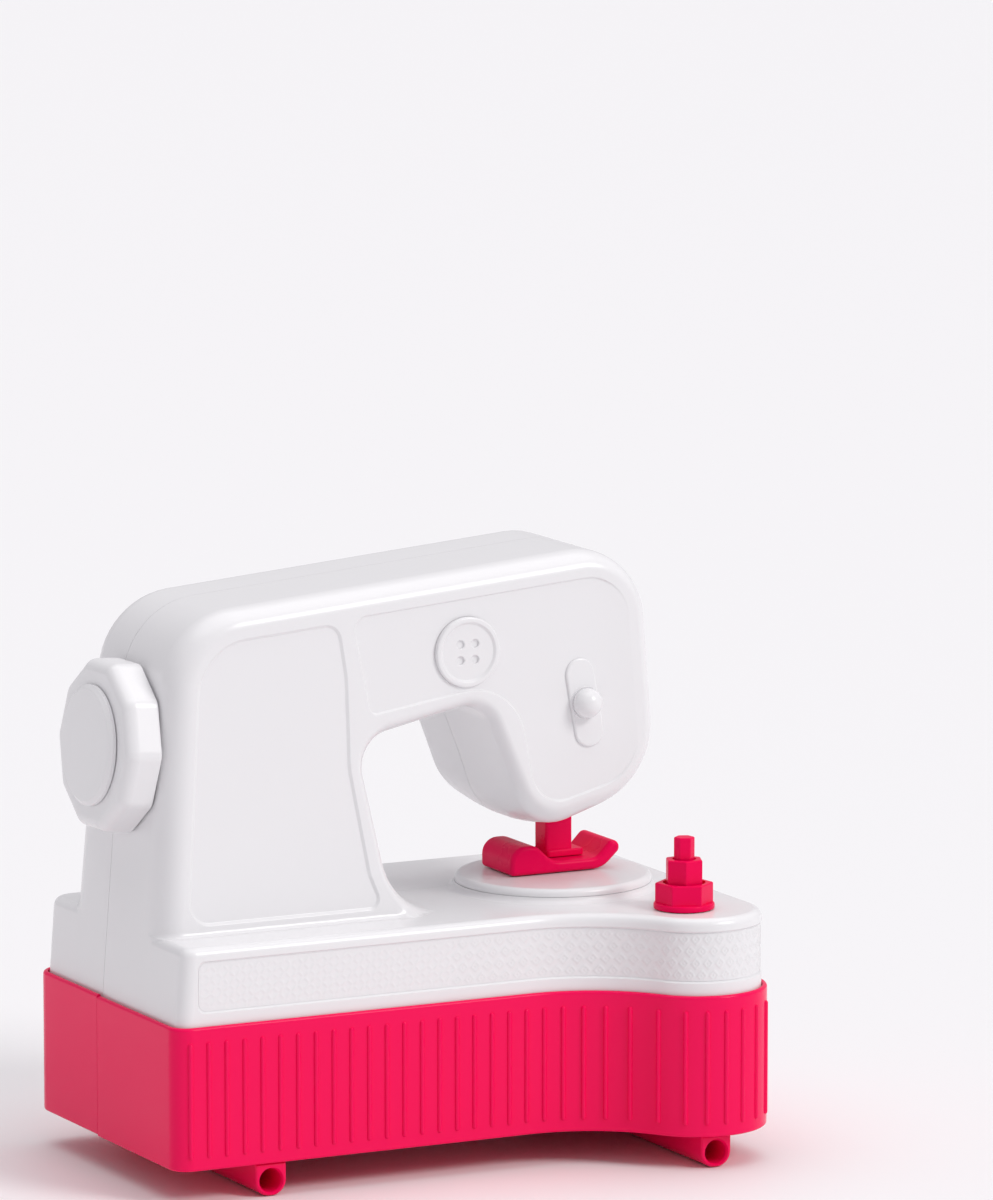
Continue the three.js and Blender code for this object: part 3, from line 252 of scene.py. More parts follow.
# Finishes
def finish(name, look):
    # look: colour, second colour of the faint clouds, roughness range, grain size and depth
    material = bpy.data.materials.new(name)
    material.use_nodes = True
    nodes, links = material.node_tree.nodes, material.node_tree.links
    shader = nodes["Principled BSDF"]
    place = nodes.new("ShaderNodeTexCoord")

    def clouds(scale, detail, stretch=(1, 1, 1)):
        mapping = nodes.new("ShaderNodeMapping")
        mapping.inputs["Scale"].default_value = stretch
        links.new(place.outputs["Object"], mapping.inputs["Vector"])
        texture = nodes.new("ShaderNodeTexNoise")
        texture.inputs["Scale"].default_value = scale
        texture.inputs["Detail"].default_value = detail
        links.new(mapping.outputs["Vector"], texture.inputs["Vector"])
        return texture.outputs["Fac"]

    tint = nodes.new("ShaderNodeMix")
    tint.data_type = "RGBA"
    tint.inputs[6].default_value = (*look["colour"], 1)
    tint.inputs[7].default_value = (*look["cloud"], 1)
    links.new(clouds(look["cloudScale"], 3), tint.inputs[0])
    links.new(tint.outputs[2], shader.inputs["Base Color"])
    gloss = nodes.new("ShaderNodeMapRange")
    gloss.inputs["From Min"].default_value = 0.35
    gloss.inputs["From Max"].default_value = 0.65
    gloss.inputs["To Min"].default_value = look["rough"][0]
    gloss.inputs["To Max"].default_value = look["rough"][1]
    links.new(clouds(look["wearScale"], 6, look.get("stretch", (1, 1, 1))), gloss.inputs["Value"])
    links.new(gloss.outputs["Result"], shader.inputs["Roughness"])
    grain = nodes.new("ShaderNodeBump")
    grain.inputs["Strength"].default_value = look["grainStrength"]
    grain.inputs["Distance"].default_value = look["grainDepth"]
    links.new(clouds(look["grainScale"], 2, look.get("stretch", (1, 1, 1))), grain.inputs["Height"])
    links.new(grain.outputs["Normal"], shader.inputs["Normal"])
    shader.inputs["Metallic"].default_value = look.get("metal", 0)
    shader.inputs["Specular IOR Level"].default_value = look.get("specular", 0.5)
    return material


glossLook = {
    "rough": (0.2, 0.24), "wearScale": 60, "grainScale": 500, "grainStrength": 0.05, "grainDepth": 0.00003,
    "cloudScale": 18,
}
finishes = {
    "white_plastic": finish("glossyWhite", {
        **glossLook, "rough": (0.25, 0.265), "colour": (0.83, 0.823, 0.836), "cloud": (0.82, 0.813, 0.828),
    }),
    "pink_plastic": finish("hotPink", {
        **glossLook, "colour": (0.93, 0.003, 0.1), "cloud": (0.9, 0.003, 0.095), "specular": 0.13,
    }),
    "magenta_plastic": finish("deepMagenta", {
        **glossLook, "rough": (0.26, 0.32), "colour": (0.87, 0.001, 0.084), "cloud": (0.84, 0.001, 0.08),
        "specular": 0.07,
    }),
    "nylon": finish("naturalNylon", {
        "colour": (0.72, 0.7, 0.63), "cloud": (0.68, 0.66, 0.58), "rough": (0.42, 0.58), "cloudScale": 40,
        "wearScale": 200, "grainScale": 1500, "grainStrength": 0.15, "grainDepth": 0.00005,
    }),
    "steel": finish("platedSteel", {
        "colour": (0.6, 0.61, 0.63), "cloud": (0.54, 0.55, 0.57), "rough": (0.22, 0.42), "cloudScale": 60,
        "wearScale": 500, "grainScale": 1600, "grainStrength": 0.1, "grainDepth": 0.00003,
        "stretch": (1, 1, 8), "metal": 1,
    }),
}
for part in frame["record"]["subparts"]:
    node = frame["nodes"][part["node"]]
    node.data.materials.clear()
    node.data.materials.append(finishes[part["material_slot"]])
print("finishes made")


def addPiece(obj, name, body, nodes, slot, sharpAngle=34):
    form = bmesh.new()
    form.from_mesh(obj.data)
    bmesh.ops.remove_doubles(form, verts=form.verts, dist=2e-3)
    bmesh.ops.dissolve_degenerate(form, edges=form.edges, dist=1e-3)
    for edge in form.edges:
        edge.smooth = edge.calc_face_angle(0) < math.radians(sharpAngle)
    for face in form.faces:
        face.smooth = True
        face.material_index = 0
    form.to_mesh(obj.data)
    form.free()
    obj.data.transform(toFrame)
    obj.name = name
    obj.data.name = name
    soften = obj.modifiers.new("soften", "WEIGHTED_NORMAL")
    soften.keep_sharp = True
    obj.data.materials.clear()
    obj.data.materials.append(finishes[slot])
    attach(obj, body)
    if nodes:
        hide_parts(*nodes)
    return obj


# Bed outline: straight front, wave, round lobe, right side, rear and left side
lobeX = bed["width"] - bed["lobeRadius"]
lobeY = bed["lobeRadius"] - bed["lobeForward"]
waveX = lobeX - math.sqrt((bed["waveRadius"] + bed["lobeRadius"]) ** 2 - (bed["waveRadius"] + lobeY) ** 2)
waveEnd = math.atan2(lobeY + bed["waveRadius"], lobeX - waveX)


def arcPoints(x, y, radius, start, end, steps):
    angles = [start + (end - start) * k / steps for k in range(steps + 1)]
    return [Vector((x + radius * math.cos(a), y + radius * math.sin(a))) for a in angles]


def between(a, b, count):
    return [a.lerp(b, (k + 1) / (count + 1)) for k in range(count)]


def bedLoop(inset):
    front = max(bed["frontCorner"] - inset, 0.3)
    rear = max(bed["rearCorner"] - inset, 0.3)
    right, back = bed["width"] - inset, bed["depth"] - inset
    leftFront = arcPoints(inset + front, inset + front, front, math.pi, 1.5 * math.pi, 8)
    wave = arcPoints(waveX, -bed["waveRadius"], bed["waveRadius"] + inset, quarter, waveEnd, 16)
    lobe = arcPoints(lobeX, lobeY, bed["lobeRadius"] - inset, waveEnd - math.pi, 0, 40)[1:]
    rightRear = arcPoints(right - rear, back - rear, rear, 0, quarter, 8)
    leftRear = arcPoints(inset + rear, back - rear, rear, quarter, math.pi, 8)
    return (
        leftFront + between(leftFront[-1], wave[0], 20) + wave + lobe
        + between(lobe[-1], rightRear[0], 14) + rightRear + between(rightRear[-1], leftRear[0], 22)
        + leftRear + between(leftRear[-1], leftFront[0], 12)
    )


def frontSpot(along, inset):
    # a point on the bed's front, so far along it from the left side
    straight = waveX
    waveLength = bed["waveRadius"] * (quarter - waveEnd)
    if along < straight:
        return Vector((along, inset))
    if along < straight + waveLength:
        angle = quarter - (along - straight) / bed["waveRadius"]
        reach = bed["waveRadius"] + inset
        return Vector((waveX + reach * math.cos(angle), reach * math.sin(angle) - bed["waveRadius"]))
    angle = waveEnd - math.pi + (along - straight - waveLength) / bed["lobeRadius"]
    reach = bed["lobeRadius"] - inset
    return Vector((lobeX + reach * math.cos(angle), lobeY + reach * math.sin(angle)))


frontLength = waveX + bed["waveRadius"] * (quarter - waveEnd) + bed["lobeRadius"] * (math.pi - waveEnd)

# Casing: column, arm and head as one soft slab on the deck
casing = {
    "lean": 0.0767, "left": 4.247, "centreY": 58.2, "halfDepth": 37.2, "taper": 0.00116,
    "roundIn": 7.5, "roundDeep": 12, "roundSteps": 10, "flare": 2.4, "flareDip": 0.15, "sink": 22.5,
    "wall": 2.2, "hollow": [(8, 0), (4.2, 3.4), (2.2, 11)], "deckInset": 2, "deckEdge": 3,
    "skirtBottom": 55.8, "skirtLevels": (64, 72, 80),
    "panelSteps": [(0, 0), (0.25, 0.1), (0.75, 0.9), (1, 1)],
    "panelFade": (186.5, 9, 0.061), "frameHalfDepth": 36.7, "wheelHole": 5.5,
    "pedestal": (166.5, 49.5), "pedestalRadius": 34.4, "pedestalFlare": 2.8, "pedestalRise": 2.1,
}


def leftFace(height):
    return casing["left"] + casing["lean"] * height


bodyCorners = [  # x, height above the deck, radius
    (leftFace(-casing["sink"]), -casing["sink"], 0), (133, -casing["sink"], 0),
    (133, -0.2, 0), (93, -0.2, 25),
    (79.5, 60.3, 12), (127.9, 70.5, 10), (146.5, 24.2, 18), (194.5, 36.2, 29), (189.2, 121.5, 24),
    (leftFace(106.5), 106.5, 28),
]
# how much of the rounding each edge gets
sideShare = {1: 0.66, 2: 0.66, 3: 0.42, 4: 0.65, 5: 0.54, 6: 0.82, 7: 0.6, 8: 0.9, 9: 1.1}
leftLevels = [
    72, 60, 46, 32, 21, 14, 9.5, 7, 5, 3.4,
    2.3, 1.9, 1.55, 1.25, 1, 0.75, 0.55, 0.35, 0.15, 0, -0.2, -6, -14,
]
bodyEdges = {0: 6, 1: 2, 2: 2, 3: 8, 4: 6, 5: 5, 6: 6, 7: 8, 8: 16, 9: leftLevels}
columnPanel = {
    "bevel": 1.3, "depth": 0.8,
    "corners": [
        (14.2, 3.2, 8), (88.2, 3.2, 4), (83, 16, 14), (76.4, 52, 30), (76, 83.2, 40), (73.2, 102.2, 6),
        (21.1, 98, 20),
    ],
}
headPanel = {
    "bevel": 0.8, "depth": 0.65,
    "corners": [
        (83.9, 69.1, 3), (138.9, 77.7, 19.5), (146.5, 31.7, 11.5), (187, 42, 18), (182.6, 112.3, 16),
        (77.8, 103.4, 5), (79.2, 94.5, 30), (81.9, 81, 30),
    ],
}
headSag = {"drop": 4.2, "x": 150, "reach": 28, "full": 28, "end": 48, "lowest": 10}  # heights above the deck
sheetGrid = {"left": 8, "step": 6, "columns": 34, "bottom": 12, "rows": 19, "low": 9, "joined": 3}


def flareAt(height):
    rise = height + casing["flareDip"]
    radius = casing["flare"]
    if rise >= radius:
        return 0
    if rise <= 0:
        return radius
    return radius - math.sqrt(radius ** 2 - (radius - rise) ** 2)


def depthScale(height):
    return 1 - casing["taper"] * height + flareAt(height) / casing["halfDepth"]


def inLoop(point, loop):
    inside = False
    for a, b in zip(loop, loop[1:] + loop[:1]):
        if (a.y > point.y) != (b.y > point.y):
            if point.x < a.x + (point.y - a.y) / (b.y - a.y) * (b.x - a.x):
                inside = not inside
    return inside


def nearLoop(point, loop, reach):
    for a, b in zip(loop, loop[1:] + loop[:1]):
        run = b - a
        share = max(0, min(1, (point - a).dot(run) / max(run.length_squared, 1e-9)))
        if (a + run * share - point).length < reach:
            return True
    return False


def faceSheet(loop, panels):
    # triangles over the front face: points, triangles, and how deep each point is sunk with its panel
    points = list(loop)
    depths = [0] * len(loop)
    edges = [(k, (k + 1) % len(loop)) for k in range(len(loop))]
    rimLoops = []
    for panel in panels:
        runs = {i: 5 for i in range(len(panel["corners"]))}
        for across, share in casing["panelSteps"]:
            ring = roundedLine(insetCorners(panel["corners"], panel["bevel"] * across), 9, runs)
            start = len(points)
            points += ring
            depths += [panel["depth"] * share] * len(ring)
            edges += [(start + k, start + (k + 1) % len(ring)) for k in range(len(ring))]
            if not across:
                rimLoops.append(ring)
    pitch = sheetGrid["step"]
    rows = [level for level in leftLevels if level < sheetGrid["low"]]
    rows += [sheetGrid["bottom"] + pitch * k for k in range(sheetGrid["rows"])]
    for row in rows:
        joined = row < sheetGrid["joined"]  # so that the foot's curve keeps its lines
        loopGap = 1.2 if row < sheetGrid["low"] else 2.5
        rimGap = 0.6 if joined else 2
        last = None
        for k in range(sheetGrid["columns"]):
            spot = Vector((sheetGrid["left"] + pitch * k, row))
            if not inLoop(spot, loop) or nearLoop(spot, loop, loopGap):
                continue
            if any(nearLoop(spot, ring, rimGap) for ring in rimLoops):
                continue
            points.append(spot)
            inside = [panel["depth"] for panel, ring in zip(panels, rimLoops) if inLoop(spot, ring)]
            depths.append(sum(inside))
            if joined and last == k - 1:
                edges.append((len(points) - 2, len(points) - 1))
            last = k
    found = delaunay_2d_cdt(points, edges, [], 1, 1e-5)
    end, run, slope = casing["panelFade"]  # towards the head's right side the step runs out
    sunk = []
    for spot, origins in zip(found[0], found[3]):
        fade = (end - spot.x - slope * (spot.y - 40)) / run
        sunk.append(depths[origins[0]] * max(0, min(1, fade)))
    return found[0], found[2], sunk


def bodyLoop(inset):
    return roundedLine(insetCorners(bodyCorners, inset, sideShare), 12, bodyEdges)


def sagAt(spot, depth):
    # the head's underside hangs lower between front and rear
    if spot.y <= headSag["lowest"]:
        return 0
    along = max(0, 1 - ((spot.x - headSag["x"]) / headSag["reach"]) ** 2) ** 2
    low = max(0, min(1, (headSag["end"] - spot.y) / (headSag["end"] - headSag["full"])))
    return headSag["drop"] * along * low * (1 - (depth / casing["halfDepth"]) ** 2)


def bodySpot(spot, depth):
    height = deckTop + spot.y - sagAt(spot, depth)
    return spot.x, casing["centreY"] + depth * depthScale(spot.y), height


def bodySlab():
    rings = []
    steps = casing["roundSteps"]
    outer, loop = bodyLoop(0), bodyLoop(casing["roundIn"])
    deeps = [casing["roundDeep"] * min(1, (a - b).length / casing["roundIn"]) for a, b in zip(outer, loop)]
    for k in range(steps + 1):
        angle = k / steps * quarter
        line = bodyLoop(casing["roundIn"] * (1 - math.sin(angle)))
        back = 1 - math.cos(angle)
        rings.append([(p, casing["halfDepth"] - deep * back) for p, deep in zip(line, deeps)])
    for share in (0.75, 0.5, 0.25):
        rings.append([(p, depth * share) for p, depth in rings[steps]])
    rings = [[bodySpot(p, -depth) for p, depth in ring] for ring in rings] + [
        [bodySpot(p, depth) for p, depth in ring] for ring in reversed(rings)
    ]
    verts, faces = loft(rings, capped=False)
    flat, triangles, sunk = faceSheet(loop, [columnPanel, headPanel])
    for side in (-1, 1):
        start = len(verts)
        for spot, dip in zip(flat, sunk):
            depth = casing["halfDepth"] - dip
            verts.append((spot.x, casing["centreY"] + side * depth * depthScale(spot.y), deckTop + spot.y))
        faces += [tuple(start + k for k in triangle) for triangle in triangles]
    return makeSolid(verts, faces)


def leanedRing(inset, z):
    rise = z - casing["skirtBottom"]
    middle = bed["width"] / 2
    return [(p.x + (casing["lean"] * rise if p.x < middle else 0), p.y, z) for p in bedLoop(inset)]


def deckBlock():
    edge, inset = casing["deckEdge"], casing["deckInset"]
    rings = [leanedRing(inset, z) for z in (casing["skirtBottom"], *casing["skirtLevels"])]
    for k in range(8):
        angle = k / 7 * quarter
        top = deckTop - edge * (1 - math.sin(angle))
        rings.append(leanedRing(inset + edge * (1 - math.cos(angle)), top))
    return makeSolid(*loft(rings))


def pedestal():
    radius, flare, rise = casing["pedestalRadius"], casing["pedestalFlare"], casing["pedestalRise"]
    profile = [
        (0, deckTop - 1, 0), (radius + flare + 0.4, deckTop - 1, 0), (radius + flare, deckTop - 0.05, 0),
    ]
    for k in range(1, 7):
        angle = k / 6 * quarter
        profile.append((radius + flare * (1 - math.sin(angle)), deckTop + rise * (1 - math.cos(angle)), 0))
    profile.append((0, deckTop + rise, 0))
    return turned(profile, moveTo(*casing["pedestal"], 0), 96)


def bodyHollow():
    depth = casing["halfDepth"] - columnPanel["depth"] - casing["wall"]
    front = [(inset, back - depth) for inset, back in casing["hollow"]]
    rings = []
    for inset, y in front + [(inset, -y) for inset, y in reversed(front)]:
        loop = roundedLine(insetCorners(bodyCorners, inset, sideShare), 5)
        scales = [1 - casing["taper"] * p.y for p in loop]
        rings.append([(p.x, casing["centreY"] + y * s, deckTop + p.y) for p, s in zip(loop, scales)])
    return makeSolid(*loft(rings))


def deckHollow():
    inset = casing["deckInset"] + casing["wall"]
    levels = (casing["skirtBottom"] - 1, deckTop - casing["wall"])
    return makeSolid(*loft([leanedRing(inset, z) for z in levels]))


# Frames of the handwheel and of the knob's track
leanAngle = math.atan(casing["lean"])
leanSin, leanCos = math.sin(leanAngle), math.cos(leanAngle)
axle = {"height": 60.5, "y": 57.2}
wheelPose = poseFrom(
    (0, -1, 0), (leanSin, 0, leanCos), (-leanCos, 0, leanSin),
    (leftFace(axle["height"]), axle["y"], deckTop + axle["height"]),
)
faceAngle = math.atan(casing["frameHalfDepth"] * casing["taper"])


def frontFace(height):
    return casing["centreY"] - casing["frameHalfDepth"] * (1 - casing["taper"] * height)


def rearFace(height):
    return casing["centreY"] + casing["frameHalfDepth"] * (1 - casing["taper"] * height)


knob = {
    "x": 165.5, "height": 67.9, "tilt": 9, "coverLength": 31, "coverWidth": 11, "coverBack": -0.1,
    "coverFront": 0.8, "ball": 5.1, "ballCentre": 2.4, "neck": 2, "neckEnd": -4.1, "pin": 1.6,
    "pinEnd": -10.1, "travel": 7.5, "slip": 0.4,
}
knobTilt = math.radians(knob["tilt"])
knobUp = Matrix.Rotation(-faceAngle, 3, "X") @ Vector((-math.sin(knobTilt), 0, math.cos(knobTilt)))
knobOut = Vector((0, -math.cos(faceAngle), math.sin(faceAngle)))
knobPose = poseFrom(
    knobUp.cross(knobOut), knobUp, knobOut,
    (knob["x"], frontFace(knob["height"]), deckTop + knob["height"]),
)
badge = {
    "x": 121, "height": 88.5, "radius": 12.1, "slip": 0.06, "pocket": 0.8, "seat": 0.5,
    "proud": 2, "rim": 1.7, "dish": 0.7, "hole": 1.4, "holeBottom": 0.5, "holeTop": 1.5, "spread": 2.75,
}
bodyScrews = [(24, 20), (26, 84), (104, 94), (150, 104), (183, 92)]  # x and height above the deck
screwPost = {"radius": 4.2, "hole": 1.7, "start": 50, "seat": 72, "headHole": 3.6, "end": 122}
spindle = {"x": 187, "y": -8, "turn": 38, "hole": 9.4}
bar = {"x": 170, "y": 56, "width": 10.2, "depth": 9, "bottom": 95.9, "shoulder": 146.9, "top": 164.4}


def obround(length, width):
    rounding = width / 2 - 0.02
    return rectangle(-width / 2, width / 2, -length / 2, length / 2, rounding)


def reliefEnd(along, start, end, rounding):
    # how much the panel's upper and lower edges pull in near its round ends
    gap = min(along - start, end - along)
    if gap >= rounding:
        return 0
    return rounding - math.sqrt(max(rounding ** 2 - (rounding - gap) ** 2, 0))


relief = {
    "start": 9.5, "endGap": 3, "bottom": 64.9, "top": 81.6, "rounding": 2.8, "sunk": 0.6, "margin": 0.25,
    "cutColumn": 3, "column": 0.36, "rows": 46, "base": 0.14,
    "weaveEnd": 104, "weave": 2.3, "weaveHeight": 0.16,
    "diamond": (4.6, 4.175), "diamondReach": 1.6, "diamondHeight": 0.2,
}


def reliefColumns(step):
    start, end = relief["start"], frontLength - relief["endGap"]
    tight = [relief["rounding"] * (1 - math.cos(k / 8 * quarter)) for k in range(8)]
    straight = end - start - 2 * relief["rounding"]
    count = int(straight / step)
    middle = [start + relief["rounding"] + straight * k / count for k in range(count + 1)]
    return [start + t for t in tight] + middle + [end - t for t in reversed(tight)]


def stripSolid(columns, rows, outer, inner, grow=0, flare=0):
    # a thin strip along the bed's front; outer and inner give the inset of its faces, flare widens the outer
    start, end = columns[0], columns[-1]
    middle, stretch = (start + end) / 2, 2 * flare / (end - start)
    rings = []
    for along in columns:
        pull = reliefEnd(along, start, end, relief["rounding"])
        z0, z1 = relief["bottom"] + pull - grow, relief["top"] - pull + grow
        ring = []
        for face, order, wide in ((outer, range(rows + 1), 1), (inner, range(rows, -1, -1), 0)):
            for k in order:
                z = z0 + (z1 - z0) * k / rows
                edgeGap = min(along - start, end - along, z - z0, z1 - z)
                spot = frontSpot(along + wide * stretch * (along - middle), face(along, z, edgeGap))
                ring.append((spot.x, spot.y, z + wide * flare * (2 * k / rows - 1)))
        rings.append(ring)
    return makeSolid(*loft(rings))


def bead(away, half):
    return max(0, 1 - (away / half) ** 2)


def weaveHeight(along, z):
    # short raised dashes, leaning left and right by turns
    size = relief["weave"]
    column, row = math.floor(along / size), math.floor(z / size)
    x, y = (along / size - column - 0.5) * size, (z / size - row - 0.5) * size
    lean = 1 if (column + row) % 2 else -1
    across, length = (x - lean * y) * 0.707, (x + lean * y) * 0.707
    return relief["weaveHeight"] * bead(across, 0.5) * bead(length, 1.3)


def diamondHeight(along, z):
    # rows of small outlined diamonds with a dot inside, every other row shifted
    stepX, stepZ = relief["diamond"]
    row = math.floor((z - relief["bottom"]) / stepZ)
    shift = 0.5 * (row % 2)
    x = along - (round(along / stepX - shift) + shift) * stepX
    y = z - relief["bottom"] - (row + 0.5) * stepZ
    outline = (abs(x) + abs(y) - relief["diamondReach"]) * 0.707
    return relief["diamondHeight"] * max(bead(outline, 0.36), bead(math.hypot(x, y), 0.5))


def patternHeight(along, z, edgeGap):
    # fine raised pattern that fades at the panel's edge
    height = weaveHeight(along, z) if along < relief["weaveEnd"] else diamondHeight(along, z)
    return height * max(0, min(1, (edgeGap - 0.3) / 0.6))


def casingSolid():
    whole = combine(bodySlab(), deckBlock(), "UNION")
    whole = combine(whole, pedestal(), "UNION")
    whole = combine(whole, bodyHollow(), "DIFFERENCE")
    whole = combine(whole, deckHollow(), "DIFFERENCE")
    posts = []
    for x, height in bodyScrews:
        pose = moveTo(x, 0, deckTop + height) @ toRear
        posts.append(rod(screwPost["radius"], frontFace(height) + 1, rearFace(height) - 1, pose, 24))
    whole = combine(whole, gather(posts), "UNION")
    cuts = []
    for x, height in bodyScrews:
        pose = moveTo(x, 0, deckTop + height) @ toRear
        cuts.append(turned([
            (0, screwPost["start"], 0), (screwPost["hole"], screwPost["start"], 0),
            (screwPost["hole"], screwPost["seat"], 0), (screwPost["headHole"], screwPost["seat"], 0),
            (screwPost["headHole"], screwPost["end"], 0), (0, screwPost["end"], 0),
        ], pose, 32))
    track = obround(knob["travel"] + 2 * (knob["neck"] + knob["slip"]), 2 * (knob["neck"] + knob["slip"]))
    trackPose = knobPose @ moveTo(0, knob["travel"] / 2, 0)
    sharp = (0.01, 0.01)
    cuts.append(roundedPrism(track, -5, 1, sharp, sharp, trackPose, 1))
    badgeSpot = moveTo(badge["x"], 0, deckTop + badge["height"]) @ toRear
    badgeFloor = frontFace(badge["height"]) + badge["pocket"]
    cuts.append(rod(badge["radius"] + badge["slip"], 5, badgeFloor, badgeSpot, 64))
    cuts.append(rod(spindle["hole"], 66, 92, moveTo(spindle["x"], spindle["y"], 0), 48))
    cuts.append(rod(casing["wheelHole"], -12, 3, wheelPose, 40))
    halfX, halfY = bar["width"] / 2 + knob["slip"], bar["depth"] / 2 + knob["slip"]
    hole = rectangle(-halfX, halfX, -halfY, halfY, 0.8)
    cuts.append(roundedPrism(hole, 98, 123, sharp, sharp, moveTo(bar["x"], bar["y"], 0), 1))
    proud, floor = casing["deckInset"] - 1, casing["deckInset"] + relief["sunk"]
    columns = reliefColumns(relief["cutColumn"])
    cuts.append(stripSolid(columns, 1, lambda *spot: proud, lambda *spot: floor, flare=floor - proud))
    return combine(whole, gather(cuts), "DIFFERENCE")


wholeCasing = casingSolid()
rearShell = keepBetween(twin(wholeCasing), bed["rearHalfStart"], farAway)
frontShell = keepBetween(wholeCasing, -farAway, bed["frontHalfEnd"])
addPiece(frontShell, "casingFront", "housing", ["body_front_shell"], "white_plastic")
addPiece(rearShell, "casingRear", "housing", ["body_rear_shell"], "white_plastic")
stripFloor = casing["deckInset"] + relief["sunk"]
strip = stripSolid(
    reliefColumns(relief["column"]), relief["rows"],
    lambda along, z, edgeGap: stripFloor - relief["base"] - patternHeight(along, z, edgeGap),
    lambda *spot: stripFloor - 0.02, -relief["margin"],
)
addPiece(strip, "reliefStrip", "housing", [], "white_plastic", 60)
print("casing made")

# Base: ribbed tub in two halves
tub = {
    "edge": 0.9, "rim": 1.1, "rimWall": 1.7, "ledge": 55.5, "wall": 3.4, "rearLift": 0.5,
    "lip": 14.7, "lipThickness": 2, "lipReach": 8.4,
    "ribRadius": 0.85, "ribPitch": 6.61, "ribStart": 5.3, "ribBottom": 15.6, "ribTop": 55.2,
}


def tubSolid(lift):
    # the wall's outline as inset and height, up the outside and down the inside
    bottom, top = bed["baseBottom"] + lift, bed["baseTop"] + lift
    edge, rim, rimWall, wall = tub["edge"], tub["rim"], tub["rimWall"], tub["wall"]
    lip, lipTop, lipReach = tub["lip"], tub["lip"] + tub["lipThickness"], tub["lipReach"]
    angles = [k / 4 * quarter for k in range(5)]
    profile = [(edge, bottom)]
    profile += [(edge * (1 - math.sin(a)), bottom + edge * (1 - math.cos(a))) for a in angles[1:]]
    profile += [(0, bottom + 12), (0, bottom + 30)]
    profile += [(rim * (1 - math.cos(a)), top - rim * (1 - math.sin(a))) for a in angles]
    profile += [(rimWall - 0.5, top), (rimWall - 0.1, top - 0.25), (rimWall, tub["ledge"])]
    profile += [(wall, tub["ledge"]), (wall, lipTop), (lipReach, lipTop), (lipReach, lip)]
    profile += [(wall, lip), (wall, bottom)]
    rings = [[(p.x, p.y, z) for p in bedLoop(inset)] for inset, z in profile]
    return makeSolid(*loft(rings, closed=True))


def frontY(x):
    corner, wave = bed["frontCorner"], bed["waveRadius"]
    if x < corner:
        return corner - math.sqrt(corner ** 2 - (corner - x) ** 2)
    if x < waveX:
        return 0
    if x < waveX + wave * math.cos(waveEnd):
        return math.sqrt(wave ** 2 - (x - waveX) ** 2) - wave
    return lobeY - math.sqrt(bed["lobeRadius"] ** 2 - (x - lobeX) ** 2)


def ribs():
    radius, found = tub["ribRadius"], []
    x = tub["ribStart"]
    while x < bed["width"] - radius:
        outline = [
            (0, tub["ribBottom"], 0), (radius, tub["ribBottom"], radius * 0.98),
            (radius, tub["ribTop"], radius * 0.98), (0, tub["ribTop"], 0),
        ]
        found.append(turned(outline, moveTo(x, frontY(x) + 0.07, 0), 16))
        x += tub["ribPitch"]
    return gather(found)


frontTub = keepBetween(combine(tubSolid(0), ribs(), "UNION"), -farAway, bed["frontHalfEnd"])
addPiece(frontTub, "tubFront", "housing", ["base_front_shell"], "pink_plastic")
rearTub = keepBetween(tubSolid(tub["rearLift"]), bed["rearHalfStart"], farAway)
addPiece(rearTub, "tubRear", "housing", ["base_rear_shell"], "pink_plastic")
print("base made")

# Foot tubes: flat soled, open at both ends
footTube = {
    "half": 5.7, "top": 11.1, "rear": 107.4, "bore": 4, "boreZ": 5.2, "lip": 0.9,
    "soleRound": 5.2, "topRound": 0.35,
}
for side, x, front in (("left", 35.5, 1.5), ("right", 189.1, -28)):
    half, lip, top = footTube["half"], footTube["lip"], footTube["top"]
    low, high = footTube["soleRound"], footTube["topRound"]
    outline = [(x - half, 0, low), (x + half, 0, low), (x + half, top, high), (x - half, top, high)]
    tube = roundedPrism(outline, -footTube["rear"], -front, (lip, lip), (lip, lip), frontView, 5, 12)
    flare = footTube["bore"] + lip * 0.6
    bore = turned([
        (0, front - 2, 0), (flare, front - 2, 0), (flare, front, 0), (footTube["bore"], front + lip, 0.8),
        (footTube["bore"], footTube["rear"] - lip, 0.8), (flare, footTube["rear"], 0),
        (flare, footTube["rear"] + 2, 0), (0, footTube["rear"] + 2, 0),
    ], moveTo(x, 0, footTube["boreZ"]) @ toRear, 48)
    combine(tube, bore, "DIFFERENCE")
    addPiece(tube, side + "Tube", "housing", [side + "_foot_tube"], "pink_plastic")
print("foot tubes made")

# Round plate under the presser foot
roundPlate = {"bottom": 88.55, "top": 91.3, "radius": 34.1, "edge": 2}
plate = turned([
    (0, roundPlate["bottom"], 0), (roundPlate["radius"], roundPlate["bottom"], 0.3),
    (roundPlate["radius"], roundPlate["top"], roundPlate["edge"]), (0, roundPlate["top"], 0),
], moveTo(*casing["pedestal"], 0), 128, 8)
addPiece(plate, "roundPlate", "housing", ["needle_plate"], "white_plastic")

# Badge: a plain four-hole button
badgeSeat = frontFace(badge["height"]) + badge["seat"]
badgePose = moveTo(badge["x"], badgeSeat, deckTop + badge["height"]) @ Matrix.Rotation(quarter, 4, "X")
rimInner, dishFloor = badge["radius"] - badge["rim"], badge["proud"] - badge["dish"]
button = turned([
    (0, 0, 0), (badge["radius"], 0, 0.3), (badge["radius"], badge["proud"], 0.8),
    (rimInner, badge["proud"], 0.7), (rimInner - 0.8, dishFloor, 0.6), (0, dishFloor, 0),
], badgePose, 96, 6)
eyes = []
for across in (-1, 1):
    for up in (-1, 1):
        spot = moveTo(across * badge["spread"], up * badge["spread"], 0)
        eyes.append(turned([
            (0, badge["holeBottom"], 0), (badge["hole"], badge["holeBottom"], 0), (badge["hole"], 1, 0.2),
            (badge["hole"] + 0.5, badge["holeTop"], 0), (0, badge["holeTop"], 0),
        ], badgePose @ spot, 32))
